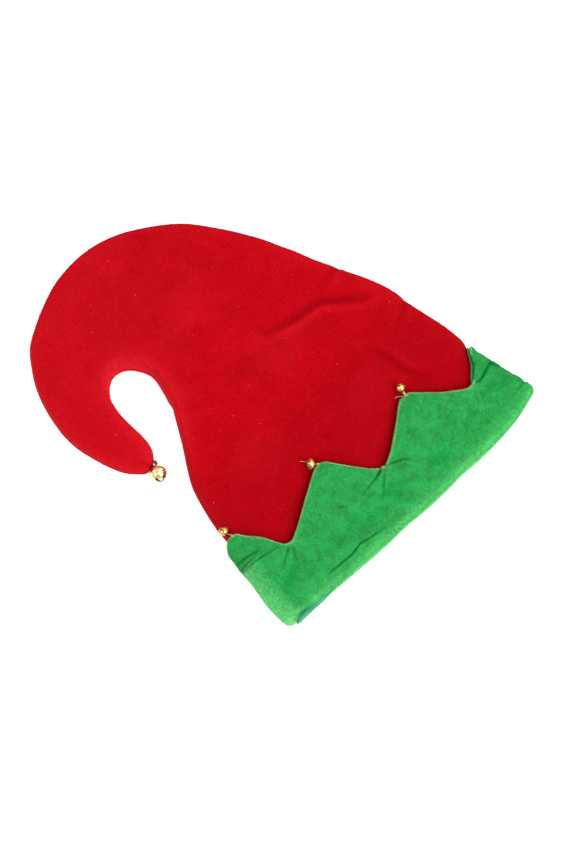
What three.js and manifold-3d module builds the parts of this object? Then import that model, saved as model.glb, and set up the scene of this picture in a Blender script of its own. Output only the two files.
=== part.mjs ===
// Elf hat lying flat: a long curled crown of two velvet panels, a turned-up cuff with six points and a
// teal facing, six small bells on the points and a larger one at the tip. Millimetres, +Z up, mouth
// towards -Y, origin on the floor at the middle of the hat.
import * as THREE from 'three';
import { mergeVertices } from 'three/addons/utils/BufferGeometryUtils.js';
import Module from 'manifold-3d';

const wasm = await Module();
wasm.setup();

// Driving dimensions
const MOUTH_WIDTH = 290; // flat width of the crown at the mouth
const HAT_LENGTH = 368; // from the rim to the top of the curl
const CUFF_HEIGHT = 88; // from the rim to the highest point of the cuff
const MOUTH_GAP = 9; // clear height of the mouth as the hat lies
const CROWN_CLOTH = 2; // wall of the red velvet
const CUFF_CLOTH = 2.6; // wall of the thicker green velvet
const FACING_CLOTH = 1.2; // wall of the teal facing
const CLEARANCE = 0.3; // between pieces that touch
const LAYER_GAP = 0.6; // between the layers of the cuff
const EDGE_ROLL = 6; // radius of the rolled edge along the crown's seam
const CROWN_DOME = 15; // how far the crown's top rises above its rolled edge
const RIM_BOW = 8; // how far the rim bows out at its middle
const CUFF_PUFF = 2.2; // how far the cuff stands off the crown at its fullest
const FACING_DEPTH = 42; // how far the facing reaches into the mouth
const FACING_PEEK = 0.8; // how far the facing shows past the points
const FOLD_DEPTH = 4; // deepest fold in the crown
const TIP_HOLE = 1.2; // radius of the gathered hole in the tip
const BELL_DIAMETER = 8;
const BELL_WALL = 0.5;
const TIP_BELL_DIAMETER = 15.5;
const TIP_BELL_WALL = 0.7;
const TIP_BELL_TURN = 48; // degrees that the tip bell's loop turns from the line of the tip

// Proportions of the crown
const ROLL_EASE = 0.4; // where the mouth's rolled edge starts to tighten, in cuff heights
const LIFT_END = 1.7; // where the crown lies on the floor past the cuff, in cuff heights
const UNDER_EDGE_START = 0.5; // where the underside leaves its edge, in from the edge, in rolls
const UNDER_EDGE_END = 1.9;
const TIP_CAP_SHARE = 0.5; // length of the rounded tip, in tip radii

// Where the underside rises over the bells under it, in cuff heights
const BELL_LIFT_START = 0.3;
const BELL_LIFT_FULL = 1.05;
const BELL_LIFT_END = 2;
const BELL_LIFT_PAST = 3; // how far past the cuff it stays up, in bell diameters

// Proportions of a bell, in bell radii
const FLANGE_SHARE = 0.1;
const SLOT_WIDTH_SHARE = 0.3;
const SLOT_REACH_SHARE = 0.62;
const SLOT_DEPTH_SHARE = 0.7;
const LOOP_RADIUS_SHARE = 0.24;
const LOOP_WIRE_SHARE = 0.09;
const LOOP_SEAT_SHARE = 0.18;
const PELLET_SHARE = 0.32;
const TIP_BELL_ASIDE = 0.42; // how far the tip bell lies to the side of the tip's middle
const TIP_BELL_OUT = 0.9; // how far its centre lies past the crown's rounded end, as a share of its reach

// Layers of the cuff, measured outwards from the crown's outer face
const FACING_BACK = LAYER_GAP;
const FACING_FRONT = FACING_BACK + FACING_CLOTH;
const CUFF_BACK = FACING_FRONT + LAYER_GAP;
const CUFF_FRONT = CUFF_BACK + CUFF_CLOTH;
const LINING_FRONT = -CROWN_CLOTH - CLEARANCE;
const ROLL_MIDDLE = (CUFF_BACK + LINING_FRONT) / 2;
const ROLL_OUTSIDE = (CUFF_FRONT - LINING_FRONT + CUFF_CLOTH) / 2;
const ROLL_INSIDE = ROLL_OUTSIDE - CUFF_CLOTH;
const MOUTH_ROLL = MOUTH_GAP / 2 + CUFF_CLOTH - LINING_FRONT; // radius of the crown's edge at the mouth

// Sections of the crown from the mouth to the tip. Each is a chord from the inner to the outer edge: x as
// shares of MOUTH_WIDTH and y of HAT_LENGTH, and the height of the dome as a share of CROWN_DOME.
const SECTION_COLUMNS = ['outerX', 'outerY', 'innerX', 'innerY', 'dome'];
const SECTIONS = [
  [1.0, 0.0, 0.0, 0.0, 0.06],
  [0.97, 0.12, 0.007, 0.125, 0.14],
  [0.958, 0.19, 0.018, 0.19, 0.25],
  [0.966, 0.24, 0.029, 0.25, 0.36],
  [0.958, 0.31, 0.042, 0.325, 0.52],
  [0.934, 0.397, 0.073, 0.399, 0.7],
  [0.884, 0.535, 0.146, 0.495, 0.94],
  [0.806, 0.663, 0.192, 0.567, 1.0],
  [0.709, 0.808, 0.215, 0.624, 1.0],
  [0.59, 0.923, 0.221, 0.671, 0.98],
  [0.417, 0.997, 0.195, 0.707, 0.94],
  [0.235, 1.002, 0.154, 0.724, 0.9],
  [0.067, 0.948, 0.115, 0.716, 0.84],
  [-0.041, 0.866, 0.08, 0.69, 0.78],
  [-0.083, 0.774, 0.072, 0.655, 0.72],
  [-0.093, 0.69, 0.073, 0.613, 0.64],
  [-0.082, 0.614, 0.071, 0.57, 0.5],
  [-0.047, 0.539, 0.063, 0.531, 0.3],
  [0.004, 0.495, 0.046, 0.51, 0.1],
];

// How far the rim bows out at places across the mouth, from the left edge to the right one, as shares of
// RIM_BOW. The upper layer draws back near the left corner and shows the facing inside.
const RIM_COLUMNS = ['across', 'upper', 'lower'];
const RIM = [
  [0.0, 0.0, 0.0],
  [0.07, -0.35, 0.3],
  [0.16, 0.35, 0.55],
  [0.3, 0.85, 0.8],
  [0.5, 0.8, 0.85],
  [0.74, 1.0, 1.05],
  [0.9, 0.75, 0.75],
  [1.0, 0.0, 0.0],
];

// Free edge of the cuff: place round the hat as a share of the way round, from the left edge over the
// top, and height as a share of CUFF_HEIGHT. Peaks and valleys take turns, and steps is the number of
// facets up to the next row. The two rows at the seams only keep a corner of the mesh on them. A peak
// names its bell and how far the bell leans round from straight above the peak, in degrees. The crown's
// panels have crownSteps facets between the same rows.
const EDGE_COLUMNS = ['around', 'rise', 'steps', 'crownSteps', 'bell', 'lean'];
const CUFF_EDGE = [
  [0.0, 0.915, 3, 3, '', 0],
  [0.0114, 0.987, 3, 2, 'upper_left', -21],
  [0.075, 0.555, 4, 1, '', 0],
  [0.1864, 0.948, 2, 1, 'upper_middle', -65],
  [0.25, 0.51, 3, 2, '', 0],
  [0.3679, 0.854, 3, 1, 'upper_right', -1],
  [0.444, 0.482, 6, 6, '', 0],
  [0.5, 0.775, 4, 4, '', 0],
  [0.54, 0.95, 2, 1, 'lower_right', 0],
  [0.585, 0.53, 4, 1, '', 0],
  [0.683, 0.95, 2, 1, 'lower_middle', 0],
  [0.7475, 0.53, 3, 1, '', 0],
  [0.85, 0.95, 3, 1, 'lower_left', 0],
  [0.929, 0.55, 6, 6, '', 0],
];

// How far the cuff stands off at a share of its height, as shares of CUFF_PUFF, at the sides and on top
const PUFF_COLUMNS = ['rise', 'side', 'top'];
const CUFF_PUFFS = [
  [0.0, 0.4, 0.3],
  [0.12, 0.8, 0.55],
  [0.28, 0.8, 0.35],
  [0.5, 0.0, 0.6],
  [0.72, 0.4, 0.8],
  [0.9, 0.4, 0.5],
  [1.0, 0.4, 0.2],
];

// Folds in the crown's top: each runs between two places, x as shares of MOUTH_WIDTH and y of
// HAT_LENGTH, with its depth as a share of FOLD_DEPTH and its half width as a share of HAT_LENGTH.
const FOLD_COLUMNS = ['startX', 'startY', 'endX', 'endY', 'depth', 'spread'];
const FOLDS = [
  [0.86, 0.43, 0.7, 0.51, 0.8, 0.045],
  [0.7, 0.51, 0.43, 0.545, 1.0, 0.045],
  [0.86, 0.54, 0.77, 0.535, 0.6, 0.035],
  [0.76, 0.33, 0.82, 0.16, 0.5, 0.04],
];

const named = (columns, rows) =>
  rows.map((row) => Object.fromEntries(columns.map((name, i) => [name, row[i]])));
const mix = (a, b, t) => a + (b - a) * t;
const clamp01 = (t) => Math.min(1, Math.max(0, t));
const smoothstep = (from, to, value) => {
  const t = clamp01((value - from) / (to - from));
  return t * t * (3 - 2 * t);
};

// Places the sections in millimetres and measures how far along the hat's middle line each one is.
const sections = named(SECTION_COLUMNS, SECTIONS).map((row) => ({
  outerX: row.outerX * MOUTH_WIDTH,
  outerY: row.outerY * HAT_LENGTH,
  innerX: row.innerX * MOUTH_WIDTH,
  innerY: row.innerY * HAT_LENGTH,
  dome: row.dome * CROWN_DOME,
  along: 0,
}));
for (let i = 1; i < sections.length; i += 1) {
  const [a, b] = [sections[i - 1], sections[i]];
  const stepX = (b.outerX + b.innerX - a.outerX - a.innerX) / 2;
  const stepY = (b.outerY + b.innerY - a.outerY - a.innerY) / 2;
  b.along = a.along + Math.hypot(stepX, stepY);
}
const TIP_ALONG = sections.at(-1).along;
const lastSection = sections.at(-1);
const TIP_RADIUS =
  Math.hypot(lastSection.outerX - lastSection.innerX, lastSection.outerY - lastSection.innerY) / 2;
const TIP_CAP = TIP_RADIUS * TIP_CAP_SHARE;

// A smooth curve through one column of a table, by Hermite pieces with slopes from the neighbours.
function curveThrough(rows, key, column, at) {
  let i = 0;
  while (i < rows.length - 2 && at > rows[i + 1][key]) i += 1;
  const slope = (j) => {
    const [a, b] = [rows[Math.max(0, j - 1)], rows[Math.min(rows.length - 1, j + 1)]];
    return (b[column] - a[column]) / (b[key] - a[key]);
  };
  const width = rows[i + 1][key] - rows[i][key];
  const t = (at - rows[i][key]) / width;
  const [t2, t3] = [t * t, t * t * t];
  return (2 * t3 - 3 * t2 + 1) * rows[i][column] + (t3 - 2 * t2 + t) * width * slope(i)
    + (3 * t2 - 2 * t3) * rows[i + 1][column] + (t3 - t2) * width * slope(i + 1);
}

// The angle round a flattened section at a share of the way round it
function angleAt(around) {
  const half = Math.floor(around * 2);
  return Math.PI * half + Math.acos(1 - 2 * (around * 2 - half));
}

// The share of the way round at an angle, the reverse of angleAt
function aroundAt(angle) {
  const half = angle >= Math.PI ? 1 : 0;
  return (half + (1 - Math.cos(angle - half * Math.PI)) / 2) / 2;
}

// Height of the whole section off the floor, where the cuff lies under it
const cuffLift = (along) =>
  CUFF_FRONT * (1 - smoothstep(CUFF_HEIGHT, CUFF_HEIGHT * LIFT_END, along));

// How much further the underside rises over the bells that lie under the crown, past the lower points
const BELL_RADIUS = BELL_DIAMETER / 2;
const BELL_REACH = BELL_RADIUS * (1 + FLANGE_SHARE); // from a bell's centre to the edge of its flange
const BELL_ROOM = 2 * (BELL_REACH + CLEARANCE);
const bellLift = (along) => {
  const rising = smoothstep(CUFF_HEIGHT * BELL_LIFT_START, CUFF_HEIGHT * BELL_LIFT_FULL, along);
  const [stayUp, end] = [CUFF_HEIGHT + BELL_DIAMETER * BELL_LIFT_PAST, CUFF_HEIGHT * BELL_LIFT_END];
  const falling = 1 - smoothstep(stayUp, end, along);
  return Math.max(0, BELL_ROOM - cuffLift(along)) * rising * falling;
};

// Depth of the folds at a place seen from above
const folds = named(FOLD_COLUMNS, FOLDS);
function foldDepth(x, y) {
  let depth = 0;
  for (const fold of folds) {
    const [startX, startY] = [fold.startX * MOUTH_WIDTH, fold.startY * HAT_LENGTH];
    const [runX, runY] = [fold.endX * MOUTH_WIDTH - startX, fold.endY * HAT_LENGTH - startY];
    const t = clamp01(((x - startX) * runX + (y - startY) * runY) / (runX * runX + runY * runY));
    const away = Math.hypot(x - startX - t * runX, y - startY - t * runY);
    depth = Math.max(depth, fold.depth * FOLD_DEPTH * Math.exp(-((away / (fold.spread * HAT_LENGTH)) ** 2)));
  }
  return depth;
}

const rimRows = named(RIM_COLUMNS, RIM);

// The crown's outer face: along runs from the rim to the tip, angle goes round from the inner edge over
// the top to the outer edge and back underneath.
function crownPoint(along, angle) {
  const at = Math.min(along, TIP_ALONG);
  const edge = (column) => curveThrough(sections, 'along', column, at);
  const [outerX, outerY, innerX, innerY] = ['outerX', 'outerY', 'innerX', 'innerY'].map(edge);
  const capShare = clamp01((along - TIP_ALONG + TIP_CAP) / TIP_CAP);
  const cap = Math.sqrt(1 - capShare * capShare);
  const halfX = (outerX - innerX) / 2 * cap;
  const halfY = (outerY - innerY) / 2 * cap;
  const halfWidth = Math.hypot(halfX, halfY);
  const across = -Math.cos(angle);
  const tightening = smoothstep(CUFF_HEIGHT * ROLL_EASE, CUFF_HEIGHT * LIFT_END, along);
  const fullRoll = mix(MOUTH_ROLL, EDGE_ROLL, tightening);
  const roll = Math.min(fullRoll * cap, halfWidth);
  const fromEdge = halfWidth * (1 - Math.abs(across));
  const arc = fromEdge < roll ? Math.sqrt(Math.max(0, roll * roll - (roll - fromEdge) ** 2)) : roll;
  const upper = Math.sin(angle) >= 0;
  const middleness = 1 - across * across;
  const bow = RIM_BOW * curveThrough(rimRows, 'across', upper ? 'upper' : 'lower', (across + 1) / 2);
  const x = (outerX + innerX) / 2 + halfX * across;
  const y = (outerY + innerY) / 2 + halfY * across
    - bow * (1 - smoothstep(0, CUFF_HEIGHT, along));
  const middle = cuffLift(along) + fullRoll;
  const dome = curveThrough(sections, 'along', 'dome', at) * cap * middleness;
  const z = upper
    ? middle + arc + (dome - foldDepth(x, y) * middleness) * arc / roll
    : middle - arc + bellLift(along) * smoothstep(roll * UNDER_EDGE_START, roll * UNDER_EDGE_END, fromEdge);
  return new THREE.Vector3(x, y, z);
}

// A point off the crown's outer face, outwards if the distance is positive
const DERIVATIVE_STEP = 1e-3;
function offCrown(along, angle, distance) {
  const step = TIP_RADIUS * DERIVATIVE_STEP;
  const alongWay = crownPoint(along + step, angle).sub(crownPoint(along - step, angle));
  const roundWay = crownPoint(along, angle + DERIVATIVE_STEP).sub(crownPoint(along, angle - DERIVATIVE_STEP));
  const outward = roundWay.cross(alongWay).normalize();
  return crownPoint(along, angle).addScaledVector(outward, distance);
}

// Joins a front and a back grid of points, row by row, into one closed sheet. A ring's columns close on
// themselves, and otherwise the sides are closed as the ends are.
function sheetBetween(front, back, ring) {
  const [rows, columns] = [front.length, front[0].length];
  const positions = [];
  const quad = (a, b, c, d) => {
    for (const p of [a, b, c, a, c, d]) positions.push(p.x, p.y, p.z);
  };
  const lastColumn = ring ? columns : columns - 1;
  for (let j = 0; j < lastColumn; j += 1) {
    const k = (j + 1) % columns;
    for (let i = 0; i < rows - 1; i += 1) {
      quad(front[i][j], front[i][k], front[i + 1][k], front[i + 1][j]);
      quad(back[i][j], back[i + 1][j], back[i + 1][k], back[i][k]);
    }
    quad(back[0][j], back[0][k], front[0][k], front[0][j]);
    quad(back[rows - 1][j], front[rows - 1][j], front[rows - 1][k], back[rows - 1][k]);
  }
  if (!ring) {
    for (let i = 0; i < rows - 1; i += 1) {
      quad(front[i][0], front[i + 1][0], back[i + 1][0], back[i][0]);
      const [f, b, g, c] = [front[i], back[i], front[i + 1], back[i + 1]];
      quad(f[columns - 1], b[columns - 1], c[columns - 1], g[columns - 1]);
    }
  }
  const geometry = new THREE.BufferGeometry();
  geometry.setAttribute('position', new THREE.Float32BufferAttribute(positions, 3));
  return mergeVertices(geometry);
}

// Corners of the cuff's mesh round the hat, with the height of the free edge at each
const edgeRows = named(EDGE_COLUMNS, CUFF_EDGE);
const edgeCorners = edgeRows.flatMap((row, i) => {
  const next = edgeRows[(i + 1) % edgeRows.length];
  const [from, to] = [angleAt(row.around), i + 1 < edgeRows.length ? angleAt(next.around) : 2 * Math.PI];
  return Array.from({ length: row.steps }, (_, k) => {
    const angle = mix(from, to, k / row.steps);
    const t = (aroundAt(angle) - row.around) / ((next.around || 1) - row.around);
    return { angle, top: mix(row.rise, next.rise, t) * CUFF_HEIGHT };
  });
});

// How far the cuff stands off at a share of its height and an angle. The side's puff fades out where the
// hat lies on the floor.
const puffRows = named(PUFF_COLUMNS, CUFF_PUFFS);
const ROLL_SINE = Math.sin(Math.acos(1 - MOUTH_ROLL / (MOUTH_WIDTH / 2)));
function cuffPuff(rise, angle) {
  const edgeness = 1 - smoothstep(0, ROLL_SINE, Math.abs(Math.sin(angle)));
  const side = curveThrough(puffRows, 'rise', 'side', rise) * edgeness;
  const top = Math.sin(angle) >= 0 ? curveThrough(puffRows, 'rise', 'top', rise) * (1 - edgeness) : 0;
  return (side + top) * CUFF_PUFF;
}

// One of the crown's two panels, from the left seam to the right one. Half of the seam's gap is taken
// off each panel, straight up or down.
const CROWN_START = ROLL_OUTSIDE + CLEARANCE;
const STEPS_PER_SECTION = 2;
const TIP_STEPS = [0, 0.65]; // rows of the rounded tip, as shares of its length

function panelAngles(upper) {
  const rows = edgeRows.filter((row) => (row.around < 0.5) === upper);
  const end = upper ? Math.PI : 2 * Math.PI;
  return rows.flatMap((row, i) => {
    const [from, to] = [angleAt(row.around), i + 1 < rows.length ? angleAt(rows[i + 1].around) : end];
    return Array.from({ length: row.crownSteps }, (_, k) => mix(from, to, k / row.crownSteps));
  }).concat(end);
}

// Rows of the mesh along the cuff, from the rim to its free edge at a height: the low ones as shares of
// CUFF_HEIGHT, and the high ones as shares of what is left up to the edge. The crown has the same rows up
// to the cuff's full height, so that the facets of the layers lie parallel, and then its own.
const LOW_RISES = [0.15, 0.3];
const HIGH_RISES = [0.25, 0.5, 0.75, 1];
const PAST_CUFF_RISES = [1.16, 1.32];
const SECTION_ROWS_START = 1.45; // from here the rows follow the sections, in cuff heights
const cuffStations = (top) => {
  const low = LOW_RISES.map((rise) => rise * CUFF_HEIGHT);
  return low.concat(HIGH_RISES.map((rise) => mix(low.at(-1), top, rise)));
};

function crownStations() {
  const pastCuff = PAST_CUFF_RISES.map((rise) => rise * CUFF_HEIGHT);
  const stations = [CROWN_START, ...cuffStations(CUFF_HEIGHT), ...pastCuff];
  const tipStart = TIP_ALONG - TIP_CAP;
  for (let i = 0; i < sections.length - 1; i += 1) {
    for (let k = 1; k <= STEPS_PER_SECTION; k += 1) {
      const at = mix(sections[i].along, sections[i + 1].along, k / STEPS_PER_SECTION);
      if (at > CUFF_HEIGHT * SECTION_ROWS_START && at < tipStart - TIP_CAP) stations.push(at);
    }
  }
  const holeShare = Math.sqrt(1 - (TIP_HOLE / TIP_RADIUS) ** 2);
  const tipRows = [...TIP_STEPS, holeShare].map((share) => tipStart + TIP_CAP * share);
  return stations.concat(tipRows);
}

// The lengths that a panel is made in, from the rim to the tip, each with the section it starts at. The
// real cloth runs through. Two lengths share the corners of the row where they meet.
const PANEL_LENGTHS = [
  { name: 'crown', start: 0 },
  { name: 'bend', start: 7 },
  { name: 'curl', start: 11 },
];
const ROW_TOLERANCE = 1e-3;

function crownPanel(upper, firstSection, lastSection) {
  const angles = panelAngles(upper);
  const first = sections[firstSection].along - ROW_TOLERANCE;
  const last = sections[lastSection].along + ROW_TOLERANCE;
  const stations = crownStations().filter((along) => along > first && along < last);
  const face = (distance) => stations.map((along) => angles.map((angle, j) => {
    const point = offCrown(along, angle, distance);
    if (j === 0 || j === angles.length - 1) point.z += (upper ? CLEARANCE : -CLEARANCE) / 2;
    return point;
  }));
  return sheetBetween(face(0), face(-CROWN_CLOTH), false);
}

// The cuff: up the outside of the crown from the rolled rim to its points. Its front and back faces
// start at the end inside the mouth and end at the free edge.
const ROLL_STEPS = 5;
const CUFF_ROWS = LOW_RISES.length + HIGH_RISES.length;

function cuffBand() {
  const face = (rollRadius) => {
    const rows = [];
    for (let i = 0; i <= ROLL_STEPS; i += 1) {
      const turn = mix(-Math.PI / 2, Math.PI / 2, i / ROLL_STEPS);
      rows.push(edgeCorners.map(({ angle }) => {
        const puff = cuffPuff(0, angle) * Math.max(0, Math.sin(turn));
        const along = ROLL_OUTSIDE - rollRadius * Math.cos(turn);
        return offCrown(along, angle, ROLL_MIDDLE + rollRadius * Math.sin(turn) + puff);
      }));
    }
    for (let i = 0; i < CUFF_ROWS; i += 1) {
      rows.push(edgeCorners.map(({ angle, top }) => {
        const along = cuffStations(top)[i];
        return offCrown(along, angle, ROLL_MIDDLE + rollRadius + cuffPuff(along / CUFF_HEIGHT, angle));
      }));
    }
    return rows;
  };
  return sheetBetween(face(ROLL_OUTSIDE), face(ROLL_INSIDE), true);
}

// The facing behind the points, from the cuff's second row up to past its edge
function pointFacing() {
  const rows = Array.from({ length: CUFF_ROWS - 1 }, (_, i) => i + 1);
  const face = (distance) => rows.map((row) => edgeCorners.map(({ angle, top }) =>
    offCrown(cuffStations(top + FACING_PEEK)[row], angle, distance)));
  return sheetBetween(face(FACING_FRONT), face(FACING_BACK), true);
}

// The facing inside the mouth, from the crown's end to FACING_DEPTH
const MOUTH_FACING_RISES = [0, 0.5, 1];

function mouthFacing() {
  const face = (distance) => MOUTH_FACING_RISES.map((rise) => edgeCorners.map(({ angle }) =>
    offCrown(mix(CROWN_START, FACING_DEPTH, rise), angle, distance)));
  return sheetBetween(face(LINING_FRONT), face(LINING_FRONT - FACING_CLOTH), true);
}

// Solids for the bells
function solidOf(geometry) {
  geometry.deleteAttribute('normal');
  geometry.deleteAttribute('uv');
  const merged = mergeVertices(geometry);
  return new wasm.Manifold(new wasm.Mesh({
    numProp: 3,
    vertProperties: Float32Array.from(merged.attributes.position.array),
    triVerts: Uint32Array.from(merged.index.array),
  }));
}

function geometryOf(solid) {
  const mesh = solid.getMesh();
  const geometry = new THREE.BufferGeometry();
  geometry.setAttribute('position', new THREE.BufferAttribute(Float32Array.from(mesh.vertProperties), 3));
  geometry.setIndex(new THREE.BufferAttribute(Uint32Array.from(mesh.triVerts), 1));
  return geometry;
}

// A ball turned about Z, with a crimped flange at its middle if one is given
function ball(radius, flange, sides, steps) {
  const profile = [];
  for (let i = 0; i <= steps; i += 1) {
    const turn = mix(-Math.PI / 2, Math.PI / 2, i / steps);
    const out = i === 0 || i === steps ? 0 : radius * Math.cos(turn);
    profile.push(new THREE.Vector2(out, radius * Math.sin(turn)));
    if (flange > 0 && i === Math.floor(steps / 2)) profile.push(new THREE.Vector2(radius + flange, 0));
  }
  return new THREE.LatheGeometry(profile, sides).rotateX(Math.PI / 2);
}

// A jingle bell round its centre: loop towards +Z, two crossed slots with round ends towards -Z
function jingleBell(radius, wall, sides, steps) {
  const slotWidth = radius * SLOT_WIDTH_SHARE;
  const slotReach = radius * SLOT_REACH_SHARE;
  const loopRadius = radius * LOOP_RADIUS_SHARE;
  let bell = solidOf(ball(radius, radius * FLANGE_SHARE, sides, steps));
  bell = bell.subtract(solidOf(ball(radius - wall, 0, sides, steps)));
  for (const turn of [0, Math.PI / 2]) {
    const slot = new THREE.BoxGeometry(slotReach * 2, slotWidth, 2 * radius * SLOT_DEPTH_SHARE);
    bell = bell.subtract(solidOf(slot.translate(0, 0, -radius).rotateZ(turn)));
  }
  const loop = new THREE.TorusGeometry(loopRadius, radius * LOOP_WIRE_SHARE, 5, 6);
  loop.rotateX(Math.PI / 2).translate(0, 0, radius * (1 + LOOP_SEAT_SHARE));
  return geometryOf(bell.add(solidOf(loop)));
}

const hat = new THREE.Group();
const velvetRed = { color: 0xc20d16, roughness: 0.95, metalness: 0 };
const velvetGreen = { color: 0x2fae56, roughness: 0.95, metalness: 0 };
const facingTeal = { color: 0x2f9c74, roughness: 0.9, metalness: 0 };
const gold = { color: 0xe0b860, roughness: 0.25, metalness: 1 };
const steel = { color: 0xb0b0b0, roughness: 0.4, metalness: 1 };

function addPiece(name, geometry, finish) {
  const mesh = new THREE.Mesh(geometry, new THREE.MeshStandardMaterial(finish));
  mesh.name = name;
  hat.add(mesh);
  return mesh;
}

// A bell with its pellet, its centre at a place and its loop towards a direction. The pellet lies at the
// lowest place inside.
function addBell(place, radius, wall, centre, loopWay, sides) {
  const steps = sides / 2;
  const bell = addPiece(`bell_${place}`, jingleBell(radius, wall, sides, steps), gold);
  bell.position.copy(centre);
  bell.quaternion.setFromUnitVectors(new THREE.Vector3(0, 0, 1), loopWay.clone().normalize());
  const room = (radius - wall) * Math.cos(Math.PI / sides) ** 2;
  const pelletRadius = radius * PELLET_SHARE;
  const pellet = addPiece(`pellet_${place}`, geometryOf(solidOf(ball(pelletRadius, 0, 10, 4))), steel);
  pellet.position.copy(centre);
  pellet.position.z -= room - pelletRadius - CLEARANCE;
}

// Bells on the points. A bell lies on the crown just past its peak: on top against the crown's outer
// face, and underneath on the floor.
const LOOP_REACH = 1 + LOOP_SEAT_SHARE + LOOP_RADIUS_SHARE + LOOP_WIRE_SHARE;
const bellFromPeak = BELL_RADIUS * LOOP_REACH + FACING_PEEK + CLEARANCE;
const peaks = edgeRows.filter((row) => row.bell !== '').map((row) => {
  const lean = THREE.MathUtils.degToRad(row.lean);
  const peakAlong = row.rise * CUFF_HEIGHT;
  const angle = angleAt(row.around + bellFromPeak * Math.sin(lean) / (2 * MOUTH_WIDTH));
  const along = peakAlong + bellFromPeak * Math.cos(lean);
  return { ...row, upper: row.around < 0.5, angle, along, peakAlong };
});

for (const layer of ['upper', 'lower']) {
  PANEL_LENGTHS.forEach(({ name, start }, i) => {
    const end = i + 1 < PANEL_LENGTHS.length ? PANEL_LENGTHS[i + 1].start : sections.length - 1;
    addPiece(`${name}_${layer}_panel`, crownPanel(layer === 'upper', start, end), velvetRed);
  });
}
addPiece('cuff_band', cuffBand(), velvetGreen);
addPiece('point_facing', pointFacing(), facingTeal);
addPiece('mouth_facing', mouthFacing(), facingTeal);

for (const peak of peaks) {
  const centre = offCrown(peak.along, peak.angle, BELL_REACH + CLEARANCE);
  if (!peak.upper) centre.z = BELL_REACH;
  const peakEnd = offCrown(peak.peakAlong, angleAt(peak.around), (CUFF_BACK + CUFF_FRONT) / 2);
  addBell(peak.bell, BELL_RADIUS, BELL_WALL, centre, peakEnd.sub(centre), 10);
}

// The larger bell lies on the floor at the crown's tip, its loop turned towards the tip's inner corner.
const tipBellRadius = TIP_BELL_DIAMETER / 2;
const tipBellReach = tipBellRadius * (1 + FLANGE_SHARE);
const tipChord = new THREE.Vector3(
  lastSection.innerX - lastSection.outerX, lastSection.innerY - lastSection.outerY, 0).normalize();
const tipWay = new THREE.Vector3(tipChord.y, -tipChord.x, 0);
const tipMiddle = new THREE.Vector3(
  (lastSection.outerX + lastSection.innerX) / 2, (lastSection.outerY + lastSection.innerY) / 2, 0);
const tipBell = tipMiddle.clone()
  .addScaledVector(tipWay, tipBellReach * TIP_BELL_OUT + CLEARANCE)
  .addScaledVector(tipChord, -tipBellRadius * TIP_BELL_ASIDE);
tipBell.z = tipBellReach;
const tipLoopWay = tipWay.clone().negate()
  .applyAxisAngle(new THREE.Vector3(0, 0, 1), -THREE.MathUtils.degToRad(TIP_BELL_TURN));
addBell('tip', tipBellRadius, TIP_BELL_WALL, tipBell, tipLoopWay, 12);

// Centres the hat over the origin
hat.updateMatrixWorld(true);
const bounds = new THREE.Box3().setFromObject(hat, true);
hat.position.set(-(bounds.min.x + bounds.max.x) / 2, -(bounds.min.y + bounds.max.y) / 2, -bounds.min.z);

export default hat;
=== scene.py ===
# %% [markdown]
# # A velvet elf hat, lying flat
# The hat is a flat bag of two red velvet panels, sewn along a curved outline and turned right side out.
# Its mouth has a wide green cuff, turned up and cut into points, and every point and the curled tip
# carry a jingle bell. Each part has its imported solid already. This lesson makes the cloth that shows in
# place of the plain solids, at the same size and in the same spot, and gives each part its finish.

import math

import bmesh
import bpy
import numpy as np
from mathutils import Matrix, Vector


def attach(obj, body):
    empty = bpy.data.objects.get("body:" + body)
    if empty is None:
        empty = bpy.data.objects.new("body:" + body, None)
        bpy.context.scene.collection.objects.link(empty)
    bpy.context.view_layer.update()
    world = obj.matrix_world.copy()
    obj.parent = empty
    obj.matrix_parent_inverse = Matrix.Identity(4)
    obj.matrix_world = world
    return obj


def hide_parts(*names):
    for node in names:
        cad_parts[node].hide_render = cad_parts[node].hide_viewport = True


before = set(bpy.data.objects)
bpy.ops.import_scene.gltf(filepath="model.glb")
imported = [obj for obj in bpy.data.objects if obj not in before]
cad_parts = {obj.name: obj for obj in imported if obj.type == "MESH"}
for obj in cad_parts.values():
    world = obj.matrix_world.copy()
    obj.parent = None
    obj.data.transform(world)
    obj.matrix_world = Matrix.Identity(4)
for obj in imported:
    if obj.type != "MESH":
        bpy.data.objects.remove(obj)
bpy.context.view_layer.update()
MM = 0.001  # one millimetre, in metres
print("solids:", ", ".join(sorted(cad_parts)))

# %% [markdown]
# ## Camera
# The photograph looks steeply down on the hat from one side. A long lens keeps the outline almost free
# of perspective. The distance follows from how many millimetres one pixel shows.

# %% Set the camera
PHOTO_HEIGHT = 864  # pixels
PIXEL = 0.88 * MM  # what a pixel shows on the hat
AZIMUTH, ELEVATION = math.radians(-44), math.radians(72)
LENS, SENSOR = 85, 36
AIM = Vector((-15.5, -51.5, -9.0)) * MM


def direction(azimuth, elevation):
    """The way from the hat towards something at an azimuth and an elevation, in radians."""
    flat = math.cos(elevation)
    return Vector((math.sin(azimuth) * flat, -math.cos(azimuth) * flat, math.sin(elevation)))


def new_object(name, data):
    """An object of the scene."""
    made = bpy.data.objects.new(name, data)
    bpy.context.collection.objects.link(made)
    return made


camera = new_object("camera", bpy.data.cameras.new("camera"))
camera.data.lens, camera.data.sensor_width = LENS, SENSOR
way = direction(AZIMUTH, ELEVATION)
camera.location = AIM + way * (LENS * PHOTO_HEIGHT * PIXEL / SENSOR)
camera.rotation_mode = "QUATERNION"
camera.rotation_quaternion = (-way).to_track_quat("-Z", "Y")
bpy.context.scene.camera = camera
print(f"camera {(camera.location - AIM).length:.2f} m away")

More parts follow.
